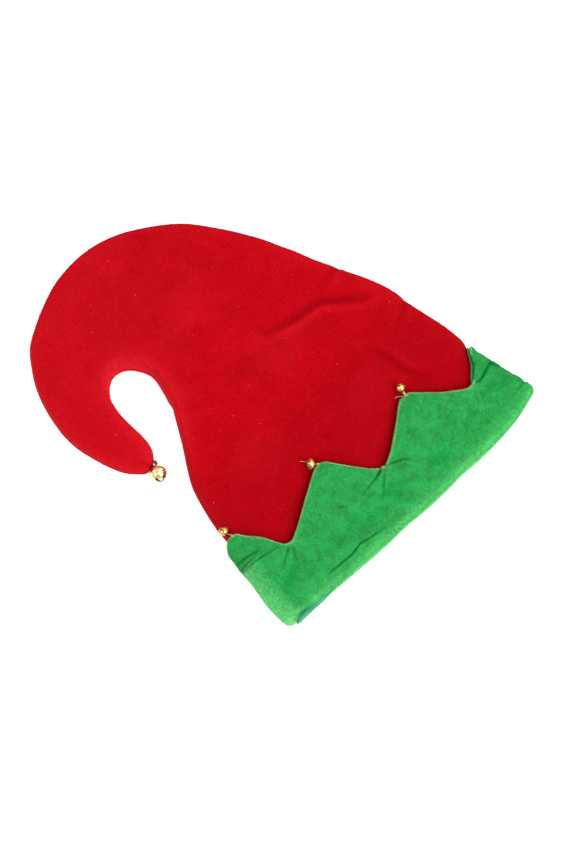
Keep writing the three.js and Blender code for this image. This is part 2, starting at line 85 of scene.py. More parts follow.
# %% [markdown]
# ## Light
# The photograph has a white ground and broad soft light, a little stronger from the mouth's side: each
# point of the cuff throws a soft dark edge on the red behind it. The key light stands low on that side and
# does this. A broad one on the left, a weaker one on the right, one overhead and an even white world fill
# the rest.

# %% Light the table
WHITE = (1, 1, 1, 1)
WORLD_STRENGTH = 0.68
# name, azimuth and elevation in degrees, distance and size in metres, power in watts
LIGHTS = [
    ("key", 8, 40, 1.6, 0.7, 17),
    ("side", -110, 42, 1.8, 1.2, 11),
    ("fill", 80, 40, 1.5, 1.0, 6),
    ("top", 0, 85, 2.0, 1.6, 10),
]
for name, azimuth, elevation, away, size, power in LIGHTS:
    lamp = bpy.data.lights.new(name, "AREA")
    lamp.energy, lamp.size = power, size
    lamp_object = new_object(name, lamp)
    aim = direction(math.radians(azimuth), math.radians(elevation))
    lamp_object.location = aim * away
    lamp_object.rotation_mode = "QUATERNION"
    lamp_object.rotation_quaternion = aim.to_track_quat("Z", "Y")
world = bpy.data.worlds.new("studio")
bpy.context.scene.world = world
world.use_nodes = True
background = world.node_tree.nodes["Background"]
background.inputs["Color"].default_value = WHITE
background.inputs["Strength"].default_value = WORLD_STRENGTH
bpy.context.scene.view_settings.view_transform = "Standard"
print(len(LIGHTS), "lamps")

# %% [markdown]
# ## The hat's shape as a function
# The solids come from one function, and the fine cloth uses the same one, so both fit. A place on the
# crown is named by two numbers: how far it lies along the hat's middle line from the rim, and its angle
# round the flattened section, from the inner edge over the top to the outer edge and back underneath.
# Lengths are in millimetres here, measured from the left end of the mouth.

# %% Sizes of the hat
MOUTH_WIDTH = 290
HAT_LENGTH = 368
CUFF_HEIGHT = 88
MOUTH_GAP = 9  # height left open inside the mouth
CROWN_CLOTH = 2
CUFF_CLOTH = 2.6
FACING_CLOTH = 1.2
CLEARANCE = 0.3  # between neighbours that don't touch
LAYER_GAP = 0.6  # between layers of cloth
EDGE_ROLL = 6  # radius of the section's two edges
CROWN_DOME = 15  # how much higher its middle is
RIM_BOW = 8
CUFF_PUFF = 2.2
FACING_DEPTH = 42  # how far the mouth's facing reaches in
FOLD_DEPTH = 4
TIP_HOLE = 1.2  # radius of what the gathered tip leaves open
HAT_MIDDLE = np.array([133.916, 181.266, 0])  # where the frame's origin lies
# how far the layers lie off the crown's outer face, and the radii of the cuff's roll and of the mouth's
FACING_BACK = LAYER_GAP
FACING_FRONT = FACING_BACK + FACING_CLOTH
CUFF_BACK = FACING_FRONT + LAYER_GAP
CUFF_FRONT = CUFF_BACK + CUFF_CLOTH
LINING_FRONT = -CROWN_CLOTH - CLEARANCE
ROLL_MIDDLE = (CUFF_BACK + LINING_FRONT) / 2
ROLL_OUTSIDE = (CUFF_FRONT - LINING_FRONT + CUFF_CLOTH) / 2
MOUTH_ROLL = MOUTH_GAP / 2 + CUFF_CLOTH - LINING_FRONT
BELL_RADIUS = 4
CRIMP = 1.1  # radius of a bell's crimped edge, as a share of the bell's own
BELL_REACH = BELL_RADIUS * CRIMP
print(f"cuff stands {CUFF_FRONT} mm off the crown, mouth roll {MOUTH_ROLL:.1f} mm")

# %% Sections of the crown
def table(columns, rows):
    """Rows with named columns, as one array for each name."""
    return dict(zip(columns.split(), np.array(rows, float).T))


# both edges of the section as shares of MOUTH_WIDTH and HAT_LENGTH, and how high its middle is domed
SECTIONS = table("outer_x outer_y inner_x inner_y dome", [
    [1.0, 0.0, 0.0, 0.0, 0.06],
    [0.97, 0.12, 0.007, 0.125, 0.14],
    [0.958, 0.19, 0.018, 0.19, 0.25],
    [0.966, 0.24, 0.029, 0.25, 0.36],
    [0.958, 0.31, 0.042, 0.325, 0.52],
    [0.934, 0.397, 0.073, 0.399, 0.7],
    [0.884, 0.535, 0.146, 0.495, 0.94],
    [0.806, 0.663, 0.192, 0.567, 1.0],
    [0.709, 0.808, 0.215, 0.624, 1.0],
    [0.59, 0.923, 0.221, 0.671, 0.98],
    [0.417, 0.997, 0.195, 0.707, 0.94],
    [0.235, 1.002, 0.154, 0.724, 0.9],
    [0.067, 0.948, 0.115, 0.716, 0.84],
    [-0.041, 0.866, 0.08, 0.69, 0.78],
    [-0.083, 0.774, 0.072, 0.655, 0.72],
    [-0.093, 0.69, 0.073, 0.613, 0.64],
    [-0.082, 0.614, 0.071, 0.57, 0.5],
    [-0.047, 0.539, 0.063, 0.531, 0.3],
    [0.004, 0.495, 0.046, 0.51, 0.1],
])
for column in SECTIONS:
    SECTIONS[column] *= {"x": MOUTH_WIDTH, "y": HAT_LENGTH}.get(column[-1], CROWN_DOME)
middle_x = (SECTIONS["outer_x"] + SECTIONS["inner_x"]) / 2
middle_y = (SECTIONS["outer_y"] + SECTIONS["inner_y"]) / 2
steps = np.hypot(np.diff(middle_x), np.diff(middle_y))
SECTIONS["along"] = np.concatenate([[0], np.cumsum(steps)])
TIP_ALONG = SECTIONS["along"][-1]
TIP_RADIUS = math.hypot(
    SECTIONS["outer_x"][-1] - SECTIONS["inner_x"][-1],
    SECTIONS["outer_y"][-1] - SECTIONS["inner_y"][-1]) / 2
TIP_CAP = TIP_RADIUS * 0.5
# how far the rim bows out at places across it, as a share of RIM_BOW
RIM = table("across upper lower", [
    [0.0, 0.0, 0.0],
    [0.07, 0.35, 0.25],
    [0.16, 0.72, 0.55],
    [0.3, 0.85, 0.8],
    [0.5, 0.8, 0.85],
    [0.74, 1.0, 1.05],
    [0.9, 0.75, 0.75],
    [1.0, 0.0, 0.0],
])
# broad folds: both ends, depth as a share of FOLD_DEPTH, and spread as a share of HAT_LENGTH
FOLDS = table("start_x start_y end_x end_y depth spread", [
    [0.86, 0.43, 0.7, 0.51, 0.8, 0.045],
    [0.7, 0.51, 0.43, 0.545, 1.0, 0.045],
    [0.86, 0.54, 0.77, 0.535, 0.6, 0.035],
    [0.76, 0.33, 0.82, 0.16, 0.5, 0.04],
])
print(f"the crown is {TIP_ALONG:.0f} mm long down its middle")

# %% Curves and soft steps
def soft_step(start, end, value):
    """0 before start, 1 past end, and smooth in between."""
    t = np.clip((value - start) / (end - start), 0, 1)
    return t * t * (3 - 2 * t)


def mix(a, b, t):
    """From a at 0 to b at 1."""
    return a + (b - a) * t


def curve_through(rows, key, column, at):
    """A smooth curve through one column of a table."""
    keys, values = rows[key], rows[column]
    slopes = np.gradient(values)
    slopes[1:-1] = (values[2:] - values[:-2]) / (keys[2:] - keys[:-2])
    slopes[[0, -1]] /= np.diff(keys)[[0, -1]]
    i = np.clip(np.searchsorted(keys, at) - 1, 0, len(keys) - 2)
    width = keys[i + 1] - keys[i]
    t = (at - keys[i]) / width
    t2, t3 = t * t, t * t * t
    return ((2 * t3 - 3 * t2 + 1) * values[i] + (t3 - 2 * t2 + t) * width * slopes[i]
            + (3 * t2 - 2 * t3) * values[i + 1] + (t3 - t2) * width * slopes[i + 1])


def from_line(x, y, start, end):
    """How far places lie from a line, signed to its left, and how far along the line each one is."""
    run = np.subtract(end, start)
    length = np.hypot(*run)
    t = np.clip(((x - start[0]) * run[0] + (y - start[1]) * run[1]) / length**2, 0, 1)
    away = np.hypot(x - start[0] - t * run[0], y - start[1] - t * run[1])
    side = np.sign(run[0] * (y - start[1]) - run[1] * (x - start[0]))
    return away * side, t * length


def fold_depth(x, y):
    """Depth of the broad folds at a place seen from above."""
    depth = np.zeros(np.shape(x))
    for i in range(len(FOLDS["depth"])):
        fold = {name: values[i] for name, values in FOLDS.items()}
        start = (fold["start_x"] * MOUTH_WIDTH, fold["start_y"] * HAT_LENGTH)
        end = (fold["end_x"] * MOUTH_WIDTH, fold["end_y"] * HAT_LENGTH)
        away, _ = from_line(x, y, start, end)
        share = np.exp(-((away / (fold["spread"] * HAT_LENGTH)) ** 2))
        depth = np.maximum(depth, fold["depth"] * FOLD_DEPTH * share)
    return depth


print("fold depth at the main fold:", fold_depth(np.array(203.0), np.array(188.0)).round(1), "mm")

# %% Small differences of the real outline from the solids
# how far the outline lies outside the solids' one, in millimetres, at places along the hat
OUTLINE = table("along outer inner", [
    [0, 0.1, 1.0], [16, -0.1, 1.4], [28, -0.2, 1.3], [40, 0.5, 1.2], [52, 0.1, 0.9], [64, -0.6, 1.2],
    [76, 2.6, 1.0], [88, 1.2, 0.9], [100, 0.3, 1.2], [112, -0.2, 0.5], [124, 0.1, 0.3], [136, 0.5, 0.6],
    [148, 2.6, 1.3], [160, 3.0, 1.6], [172, 0.9, 1.8], [184, -1.2, 1.9], [196, -2.7, 1.8],
    [208, -2.8, 1.5], [220, -1.4, 1.1], [232, 0.0, 0.9], [244, 0.7, 1.4], [256, 0.8, 1.2],
    [268, 0.2, 1.1], [280, 0.2, 0.7], [304, -0.3, 0.1], [328, 0.0, -0.5], [340, 0.3, -1.3],
    [352, 0.4, -2.0], [364, 0.8, -2.4], [376, 0.9, -2.6], [388, 0.2, -2.8], [400, 0.1, -2.3],
    [412, 1.5, -1.2], [424, -0.4, 0.2], [436, -0.6, 0.8], [448, 0.4, 0.2], [460, 0.7, -0.5],
    [472, 1.7, -1.2], [484, 1.5, -1.2], [496, 0.2, -0.2], [508, -0.3, 0.5], [520, -0.3, 0.0],
    [540, -0.3, -0.3],
])
# how far the rim lies outside the solids' one, in millimetres, at places across it
RIM_OUTLINE = table("across out", [
    [0.0, 1.4], [0.04, 0.2], [0.09, -1.2], [0.16, -1.0], [0.24, -1.1], [0.32, -0.7], [0.38, -0.4],
    [0.44, -0.7],
    [0.5, 0.3], [0.56, 0.6], [0.62, -0.2], [0.68, -1.3], [0.74, -0.5], [0.84, -0.3], [1.0, -0.4],
])
UPPER_RIM_OUT = 1.6  # how much further the upper layer of the rim comes, right of the left quarter
OUTLINE_FADE, RIM_FADE = 14, 36  # how far from the outline and from the rim the shifts reach


def outline_shift(along, share, from_edge):
    """How far a place on the crown moves, outwards across the hat and out past the rim."""
    at = np.clip(along, 0, TIP_ALONG)
    side = np.where(
        share > 0.5, curve_through(OUTLINE, "along", "outer", at),
        curve_through(OUTLINE, "along", "inner", at))
    side = side * np.exp(-((from_edge / OUTLINE_FADE) ** 2))
    past_rim = curve_through(RIM_OUTLINE, "across", "out", share)
    return side, past_rim * (1 - soft_step(0, RIM_FADE, along))


print("outline: up to", OUTLINE["outer"].max(), "mm out and", -OUTLINE["inner"].min(), "mm in")

# %% The crown's outer face
def cuff_lift(along):
    """Height of the section off the table where the cuff lies under it."""
    return CUFF_FRONT * (1 - soft_step(CUFF_HEIGHT, CUFF_HEIGHT * 1.7, along))


def bell_lift(along):
    """How much further the underside rises over the bells that lie under the crown."""
    room = 2 * (BELL_REACH + CLEARANCE)
    rising = soft_step(CUFF_HEIGHT * 0.3, CUFF_HEIGHT * 1.05, along)
    falling = 1 - soft_step(CUFF_HEIGHT + BELL_RADIUS * 6, CUFF_HEIGHT * 2, along)
    return np.maximum(0, room - cuff_lift(along)) * rising * falling


def section_at(along):
    """Middle and half width vector of the section, its share of the rounded tip, and its edge roll."""
    at = np.minimum(along, TIP_ALONG)
    outer_x, outer_y, inner_x, inner_y, dome = (
        curve_through(SECTIONS, "along", column, at)
        for column in ("outer_x", "outer_y", "inner_x", "inner_y", "dome"))
    cap = np.sqrt(1 - np.clip((along - TIP_ALONG + TIP_CAP) / TIP_CAP, 0, 1) ** 2)
    middle = ((outer_x + inner_x) / 2, (outer_y + inner_y) / 2)
    half = ((outer_x - inner_x) / 2 * cap, (outer_y - inner_y) / 2 * cap)
    tightening = soft_step(CUFF_HEIGHT * 0.4, CUFF_HEIGHT * 1.7, along)
    full_roll = mix(MOUTH_ROLL, EDGE_ROLL, tightening)
    roll = np.minimum(full_roll * cap, np.hypot(*half))
    return middle, half, dome * cap, full_roll, roll


def crown_point(along, angle, fitted=True):
    """A place on the crown's outer face, in millimetres, on the real outline or on the solids' one."""
    along, angle = np.broadcast_arrays(np.asarray(along, float), np.asarray(angle, float))
    middle, half, dome, full_roll, roll = section_at(along)
    across = -np.cos(angle)
    from_edge = np.hypot(*half) * (1 - np.abs(across))
    inside = np.maximum(0, roll * roll - (roll - from_edge) ** 2)
    arc = np.where(from_edge < roll, np.sqrt(inside), roll)
    upper = np.sin(angle) >= 0
    share = (across + 1) / 2
    bow = RIM_BOW * np.where(
        upper, curve_through(RIM, "across", "upper", share), curve_through(RIM, "across", "lower", share))
    x = middle[0] + half[0] * across
    y = middle[1] + half[1] * across - bow * (1 - soft_step(0, CUFF_HEIGHT, along))
    if fitted:
        side, past_rim = outline_shift(along, share, from_edge)
        right_part = soft_step(0.22, 0.4, share) * (1 - soft_step(0.86, 1, share))
        past_rim = past_rim + UPPER_RIM_OUT * right_part * upper * (1 - soft_step(0, RIM_FADE, along))
        side = side * np.sign(across) / np.maximum(np.hypot(*half), 0.1)
        x, y = x + half[0] * side, y + half[1] * side - past_rim
    centre = cuff_lift(along) + full_roll
    middleness = 1 - across * across
    top = centre + arc + (dome - fold_depth(x, y) * middleness) * arc / roll
    bottom = centre - arc + bell_lift(along) * soft_step(roll * 0.5, roll * 1.9, from_edge)
    return np.stack([x, y, np.where(upper, top, bottom)], axis=-1)


def off_crown(along, angle, distance, fitted=True):
    """A place off the crown's outer face, outwards if the distance is positive."""
    small = 0.001  # radians round the section, and a share of the tip's radius along the hat
    step = TIP_RADIUS * small
    ahead = crown_point(along + step, angle, fitted) - crown_point(along - step, angle, fitted)
    around = crown_point(along, angle + small, fitted) - crown_point(along, angle - small, fitted)
    outward = np.cross(around, ahead)
    outward /= np.linalg.norm(outward, axis=-1, keepdims=True)
    return crown_point(along, angle, fitted) + outward * np.asarray(distance)[..., None]


print("top of the crown:", crown_point(300, math.pi / 2).round(1), "mm")

# %% [markdown]
# ## Finishes
# Velvet is a short standing pile. It is dark where one looks into it and light at a flat angle, which its
# sheen gives. One noise of many sizes mottles the colour, and two finer ones add light and dark hairs. Two
# attributes are worked out for each point of the mesh. One is partly rubbed pile and mostly painted sheen and
# highlight, on rolled edges and every fold, which another noise makes uneven. Crease is painted shade: in
# grooves, in gaps and beside the cuff's points.

# %% Helpers for materials
def linear(red, green, blue):
    """A colour read off a screen, from 0 to 255, as the shader wants it."""
    return tuple(((c / 255 + 0.055) / 1.055) ** 2.4 if c > 10 else c / 255 / 12.92
                 for c in (red, green, blue)) + (1,)


def new_material(name):
    """A material with its nodes and links."""
    material = bpy.data.materials.new(name)
    material.use_nodes = True
    return material, material.node_tree.nodes, material.node_tree.links


def set_inputs(node, values):
    """Sets a node's inputs by their names."""
    for label, value in values.items():
        node.inputs[label].default_value = value


def noise_from(nodes, links, scale, detail, roughness=0.5):
    """Noise on the object's own coordinates; scale is in waves a metre."""
    place = nodes.new("ShaderNodeTexCoord")
    noise = nodes.new("ShaderNodeTexNoise")
    set_inputs(noise, {"Scale": scale, "Detail": detail, "Roughness": roughness})
    links.new(place.outputs["Object"], noise.inputs["Vector"])
    return noise.outputs["Fac"]


def spread(nodes, links, value, low, high):
    """Stretches the values from low to high over 0 to 1."""
    stretch = nodes.new("ShaderNodeMapRange")
    stretch.interpolation_type = "SMOOTHSTEP"
    set_inputs(stretch, {"From Min": low, "From Max": high})
    links.new(value, stretch.inputs["Value"])
    return stretch.outputs["Result"]


def blend_colours(nodes, links, share, first, second):
    """A mix of two colours, each a value or a socket."""
    mixer = nodes.new("ShaderNodeMix")
    mixer.data_type = "RGBA"
    links.new(share, mixer.inputs["Factor"])
    for socket, colour in ((mixer.inputs[6], first), (mixer.inputs[7], second)):
        if isinstance(colour, tuple):
            socket.default_value = colour
        else:
            links.new(colour, socket)
    return mixer.outputs[2]


def bumped(nodes, links, height, strength, distance):
    """Gives the material's surface bumps."""
    bump = nodes.new("ShaderNodeBump")
    set_inputs(bump, {"Strength": strength, "Distance": distance})
    links.new(height, bump.inputs["Height"])
    links.new(bump.outputs["Normal"], nodes["Principled BSDF"].inputs["Normal"])


# %% Velvet
PATCH_DETAIL, NAP_DETAIL, FINE_DETAIL = 8, 4, 3
PATCH_ROUGHNESS, FINE_ROUGHNESS = 0.82, 0.7
LIGHT_GRAIN, DARK_GRAIN, NAP_GRAIN, BUMP_GRAIN = 640, 540, 420, 1500  # waves a metre
DARK_SPECKS = (0.48, 1.0)  # range of the noise over which dark specks come up
LIGHT_SPECK_RANGE = 0.4  # the same for light specks, past where they start
# the painted sheen and light is multiplied by a noise, stretched from its first range over its second
NAP_NOISE = {"From Min": 0.34, "From Max": 0.66, "To Min": 0.45, "To Max": 1.35}
PILE_HEIGHT = 0.6 * MM


def attribute(nodes, name):
    """The value of an attribute of the mesh."""
    reader = nodes.new("ShaderNodeAttribute")
    reader.attribute_name = name
    return reader.outputs["Fac"]


def product(nodes, links, first, second):
    """One socket times another."""
    times = nodes.new("ShaderNodeMath")
    times.operation = "MULTIPLY"
    links.new(first, times.inputs[0])
    links.new(second, times.inputs[1])
    return times.outputs["Value"]


def velvet(name, shades, patches, specks, grain):
    """Pile cloth in four colours: a dark one for painted shade and dark hairs, deep and light for the cloth's
    own mottle, and a pale one for painted sheen and highlight and light hairs. Patches gives the pile's
    patches as waves a metre and the range of the noise; specks, from where its grain shows light hairs;
    grain, how strong its bumps are."""
    material, nodes, links = new_material(name)
    shader = nodes["Principled BSDF"]
    # the first colour is painted shade and dark hairs, the last painted sheen and highlight and light hairs
    shade_and_dark_specks, deep, light, sheen_and_light_specks = (linear(*shade) for shade in shades)

    def noise(waves, detail=FINE_DETAIL, roughness=FINE_ROUGHNESS):
        return noise_from(nodes, links, waves, detail, roughness)

    scale, low, high = patches
    patch = spread(nodes, links, noise(scale, PATCH_DETAIL, PATCH_ROUGHNESS), low, high)
    colour = blend_colours(nodes, links, patch, deep, light)
    grain_light = spread(nodes, links, noise(LIGHT_GRAIN), specks, specks + LIGHT_SPECK_RANGE)
    colour = blend_colours(nodes, links, grain_light, colour, sheen_and_light_specks)
    grain_dark = spread(nodes, links, noise(DARK_GRAIN), *DARK_SPECKS)
    colour = blend_colours(nodes, links, grain_dark, colour, shade_and_dark_specks)
    uneven = nodes.new("ShaderNodeMapRange")
    set_inputs(uneven, NAP_NOISE)
    links.new(noise(NAP_GRAIN, NAP_DETAIL), uneven.inputs["Value"])
    nap = product(nodes, links, attribute(nodes, "nap"), uneven.outputs["Result"])
    # mixes in painted sheen and highlight, then painted shade where the crease attribute says
    colour = blend_colours(nodes, links, nap, colour, sheen_and_light_specks)
    colour = blend_colours(nodes, links, attribute(nodes, "crease"), colour, shade_and_dark_specks)
    links.new(colour, shader.inputs["Base Color"])
    set_inputs(shader, {"Roughness": 0.9, "Specular IOR Level": 0.03, "Sheen Weight": 0.04,
                        "Sheen Roughness": 0.4, "Sheen Tint": sheen_and_light_specks})
    bumped(nodes, links, noise(BUMP_GRAIN), grain, PILE_HEIGHT)
    return material


# each: painted shade, the cloth's deep and light tones, and painted sheen and highlight
RED_SHADES = (92, 0, 4), (153, 0, 8), (167, 1, 13), (200, 28, 40)
GREEN_SHADES = (0, 84, 34), (0, 104, 41), (16, 142, 60), (106, 198, 118)
red_velvet = velvet("red_velvet", RED_SHADES, patches=(50, 0.34, 0.68), specks=0.52, grain=0.45)
green_velvet = velvet("green_velvet", GREEN_SHADES, patches=(90, 0.35, 0.66), specks=0.6, grain=0.8)
print("velvet:", red_velvet.name, green_velvet.name)

# %% Facing cloth, thread and metal
def plain_cloth(name, dark, light):
    """A thin woven facing: fine crossing threads and a soft mottle."""
    material, nodes, links = new_material(name)
    shader = nodes["Principled BSDF"]
    mottle = spread(nodes, links, noise_from(nodes, links, scale=160, detail=3), low=0.3, high=0.7)
    links.new(blend_colours(nodes, links, mottle, linear(*dark), linear(*light)), shader.inputs["Base Color"])
    set_inputs(shader, {"Roughness": 0.8, "Sheen Weight": 0.2})
    threads = noise_from(nodes, links, scale=2600, detail=2)
    bumped(nodes, links, threads, strength=0.4, distance=0.3 * MM)
    return material


def metal(name, bright, wear_and_dark_reflection, roughness, wear_scale):
    """Plated metal with faint scratches and duller, darker patches; the darker colour is partly wear and
    partly painted dark reflection.
    """
    material, nodes, links = new_material(name)
    shader = nodes["Principled BSDF"]
    wear = noise_from(nodes, links, wear_scale, detail=4, roughness=0.6)
    wear = spread(nodes, links, wear, low=0.42, high=0.75)
    # the darker colour stands partly for wear and partly for painted dark reflections
    links.new(blend_colours(nodes, links, wear, linear(*bright), linear(*wear_and_dark_reflection)), shader.inputs["Base Color"])
    shader.inputs["Metallic"].default_value = 1
    rough = nodes.new("ShaderNodeMapRange")
    set_inputs(rough, {"To Min": roughness, "To Max": roughness + 0.16})
    links.new(wear, rough.inputs["Value"])
    links.new(rough.outputs["Result"], shader.inputs["Roughness"])
    scratches = noise_from(nodes, links, wear_scale * 3, detail=2)
    bumped(nodes, links, scratches, strength=0.12, distance=0.2 * MM)
    return material


teal_facing = plain_cloth("teal_facing", (0, 108, 66), (36, 152, 100))
gold_plate = metal("gold_plate", (240, 200, 126), (158, 116, 58), roughness=0.2, wear_scale=420)
pale_plate = metal("pale_plate", (244, 224, 172), (170, 136, 84), roughness=0.18, wear_scale=420)
pellet_steel = metal("pellet_steel", (190, 190, 192), (120, 120, 124), roughness=0.35, wear_scale=500)
green_thread = plain_cloth("green_thread", (84, 172, 92), (160, 212, 140))
gold_thread = plain_cloth("gold_thread", (150, 110, 60), (222, 196, 140))
red_thread = plain_cloth("red_thread", (104, 4, 16), (160, 12, 28))
print("other finishes:", ", ".join(
    finish.name for finish in (teal_facing, gold_plate, pale_plate, pellet_steel, green_thread, gold_thread,
                               red_thread)))

# %% [markdown]
# ## Sheets from grids
# Every piece of cloth is a grid of points on its face and the same grid on its back, closed at its
# borders. At a border the cloth gets thin and its face dips, so it looks folded over and not cut.

# %% Make a sheet of cloth
def cloth_sheet(name, face, back, ring, material, **values):
    """A closed sheet between two grids. In a ring the columns close on themselves. Each value is a grid
    from 0 to 1 that the finish reads as an attribute; pile is for the face alone."""
    rows, columns = face.shape[:2]
    corner = np.arange(rows * columns).reshape(rows, columns)
    if ring:
        corner = np.concatenate([corner, corner[:, :1]], axis=1)
    quads = [corner[:-1, :-1], corner[:-1, 1:], corner[1:, 1:], corner[1:, :-1]]
    front_faces = np.stack(quads, axis=-1).reshape(-1, 4)
    behind = rows * columns
    borders = [(corner[0, 1:], corner[0, :-1]), (corner[-1, :-1], corner[-1, 1:])]
    if not ring:
        borders += [(corner[:-1, 0], corner[1:, 0]), (corner[1:, -1], corner[:-1, -1])]
    rims = [np.stack([a, b, b + behind, a + behind], axis=-1) for a, b in borders]
    faces = np.concatenate([front_faces, front_faces[:, ::-1] + behind] + rims)
    points = np.concatenate([face.reshape(-1, 3), back.reshape(-1, 3)])
    points = (points - HAT_MIDDLE) * MM
    mesh = bpy.data.meshes.new(name)
    mesh.from_pydata(points, [], faces)
    mesh.polygons.foreach_set("use_smooth", np.ones(len(faces), bool))
    for value_name, grid in values.items():
        on_face = np.clip(grid, 0, 1).reshape(-1)
        on_back = on_face * (value_name != "pile")
        layer = mesh.attributes.new(value_name, "FLOAT", "POINT")
        layer.data.foreach_set("value", np.append(on_face, on_back).astype(np.float32))
    mesh.materials.append(material)
    mesh.update()
    print(f"{name}: {rows} by {columns} points, {2 * len(faces)} triangles")
    return new_object(name, mesh)


EDGE_THIN = 0.15  # share of its thickness that the cloth has at its very border


def edge_thickness(to_edge, thickness):
    """Share of the cloth's thickness at a distance from its border: a rounded fold."""
    t = np.clip(to_edge / (thickness / 2), 0, 1)
    return mix(EDGE_THIN, 1, np.sqrt(1 - (1 - t) ** 2))


def outward(along, angle):
    """Places on the crown's outer face and the way out of it there."""
    place = crown_point(along, angle)
    return place, off_crown(along, angle, np.ones(place.shape[:-1])) - place


# %% [markdown]
# ## Creases
# Handling has left creases in the cloth. Each one is a short line seen from above. Across it the cloth
# dips in a narrow groove and swells beside it, more on one side. The places are read off the
# photograph and given in millimetres from the left end of the mouth.

# %% Crease tables
# places, depth, half width, swelling beside it (to the left if positive), fades towards its end
CROWN_CREASES = {
    "across the bend": ([(249, 163), (237, 172), (225, 182), (215, 190), (206, 192), (195, 193),
                         (184, 195), (172, 198), (160, 202)], 2.3, 3.3, 1.3, False),
    "nick to bend": ([(238, 200), (229, 200), (222, 193)], 0.7, 3.0, 0.5, True),
    "edge nick": ([(248, 200), (241, 201), (234, 200)], 1.5, 1.4, 0.6, True),
    "down to the cuff": ([(216, 132), (221, 123), (223, 110), (224, 94), (235, 72)], 1.0, 2.6, 0.5, False),
    "beside the seam": ([(268, 137), (258, 130), (247, 128)], 0.9, 2.5, 0.4, True),
}
CUFF_CREASES = {
    "left point, low": ([(37, 52), (19, 56), (5, 58), (-1, 61)], 1.4, 0.7, -0.9, False),
    "left point, high": ([(22, 61), (12, 64), (3, 67)], 1.3, 0.8, -0.7, False),
    "left edge": ([(12, 60), (4, 61), (-6, 62)], 1.7, 1.0, -1.0, False),
    "left valley, down": ([(38, 46), (26, 39), (20, 36)], 1.2, 0.8, 0.8, True),
    "left valley, steep": ([(41, 45), (36, 34), (31, 25)], 0.6, 0.9, 0.5, True),
    "middle valley, down": ([(145, 43), (140, 40), (131, 38), (115, 36)], 2.0, 0.8, 1.0, True),
    "middle valley, steep": ([(147, 40), (141, 35), (132, 27), (124, 20)], 0.8, 1.0, 0.5, True),
    "middle valley, right": ([(149, 41), (156, 38), (163, 35), (170, 29)], 2.1, 0.8, 0.9, True),
    "middle valley, left": ([(143, 41), (133, 36), (121, 30)], 0.5, 0.9, 0.4, True),
    "middle point": ([(175, 42), (186, 45)], 0.3, 1.1, 0.4, False),
    "dash": ([(93, 44), (99, 37)], 0.9, 0.8, 0.3, False),
    "right valley": ([(255, 41), (261, 39), (269, 41), (279, 45)], 2.2, 0.9, 1.0, False),
    "right valley, down": ([(278, 43), (282, 35)], 1.5, 0.9, 0.7, True),
    "right valley, left": ([(253, 39), (248, 28), (240, 20)], 0.5, 1.1, 0.4, True),
    "right end": ([(291, 12), (277, 10)], 1.5, 1.0, 0.6, True),
    "right edge": ([(287, 25), (298, 24)], 1.6, 2.0, 0.6, False),
    "along the rim": ([(111, 2), (98, 4), (84, 7), (73, 5), (58, 6), (44, 7)], 1.5, 0.7, 0.8, False),
}
# x, y, depth and radius of dents in the outline
DENTS = [(249, 201, 0.35, 3), (273, 139, 0.8, 5), (56, 212, 0.8, 6)]
print(len(CROWN_CREASES), "creases in the crown and", len(CUFF_CREASES), "in the cuff")

# %% Creases, dents and ripples as functions
FAR_SIDE = 1.8  # how much wider the dip is on the side away from the swelling
FAR_SWELLING = 0.35  # share of the swelling on that side
FADED = 0.75  # how much weaker a fading crease is at its end
# height, size across and phase of each kind of ripple
CROWN_RIPPLES = [(0.6, 95, 0), (0.25, 34, 2)]
CUFF_RIPPLES = [(0.5, 42, 1), (0.28, 15, 3)]


def crease_relief(creases, x, y):
    """How far the creases move the cloth out at places seen from above, and how closed each one is, which
    sets the painted shade in it.
    """
    relief, closed = np.zeros(np.shape(x)), np.zeros(np.shape(x))
    for places, depth, width, swelling, fades in creases.values():
        nearest = np.full(np.shape(x), np.inf)
        signed, along_it, run = np.zeros_like(relief), np.zeros_like(relief), 0
        for start, end in zip(places, places[1:]):
            away, done = from_line(x, y, start, end)
            closer = np.abs(away) < nearest
            nearest = np.where(closer, np.abs(away), nearest)
            signed = np.where(closer, away, signed)
            along_it = np.where(closer, run + done, along_it)
            run += math.dist(start, end)
        share = along_it / run
        strength = (1 - FADED * share) if fades else np.sqrt(np.clip(4 * share * (1 - share), 0.1, 1))
        dip_width = np.where(signed * swelling > 0, width, width * FAR_SIDE)
        groove = np.exp(-((signed / dip_width) ** 2))
        beside = np.exp(-(((np.abs(signed) - 2 * width) / (1.2 * width)) ** 2))
        favoured = np.where(signed * swelling > 0, 1, FAR_SWELLING) * abs(swelling)
        relief += strength * (favoured * beside - depth * groove)
        closed += strength * groove**2 * min(1, depth / 1.5)
    return relief, closed


def dent_relief(x, y):
    """How far the dents move the cloth in, as a negative number."""
    return -sum(depth * np.exp(-(((x - dent_x) ** 2 + (y - dent_y) ** 2) / radius**2))
                for dent_x, dent_y, depth, radius in DENTS)


def ripples(x, y, size, phase):
    """Slow uneven waves about size across, between -1 and 1."""
    waves = [(1.0, 0.3, 0.0), (-0.4, 0.9, 1.7), (0.7, -0.8, 4.1), (0.2, 1.3, 2.6)]
    turn = 2 * math.pi / size
    return sum(np.sin((a * x + b * y) * turn + c + phase) for a, b, c in waves) / len(waves)


print("relief in the main crease:", crease_relief(CROWN_CREASES, 206.0, 192.0)[0].round(1), "mm")

# %% [markdown]
# ## The cuff's free edge
# The cuff's points are one line round the hat. It comes first, because the crown is a little darker next
# to it and every bell hangs from it.

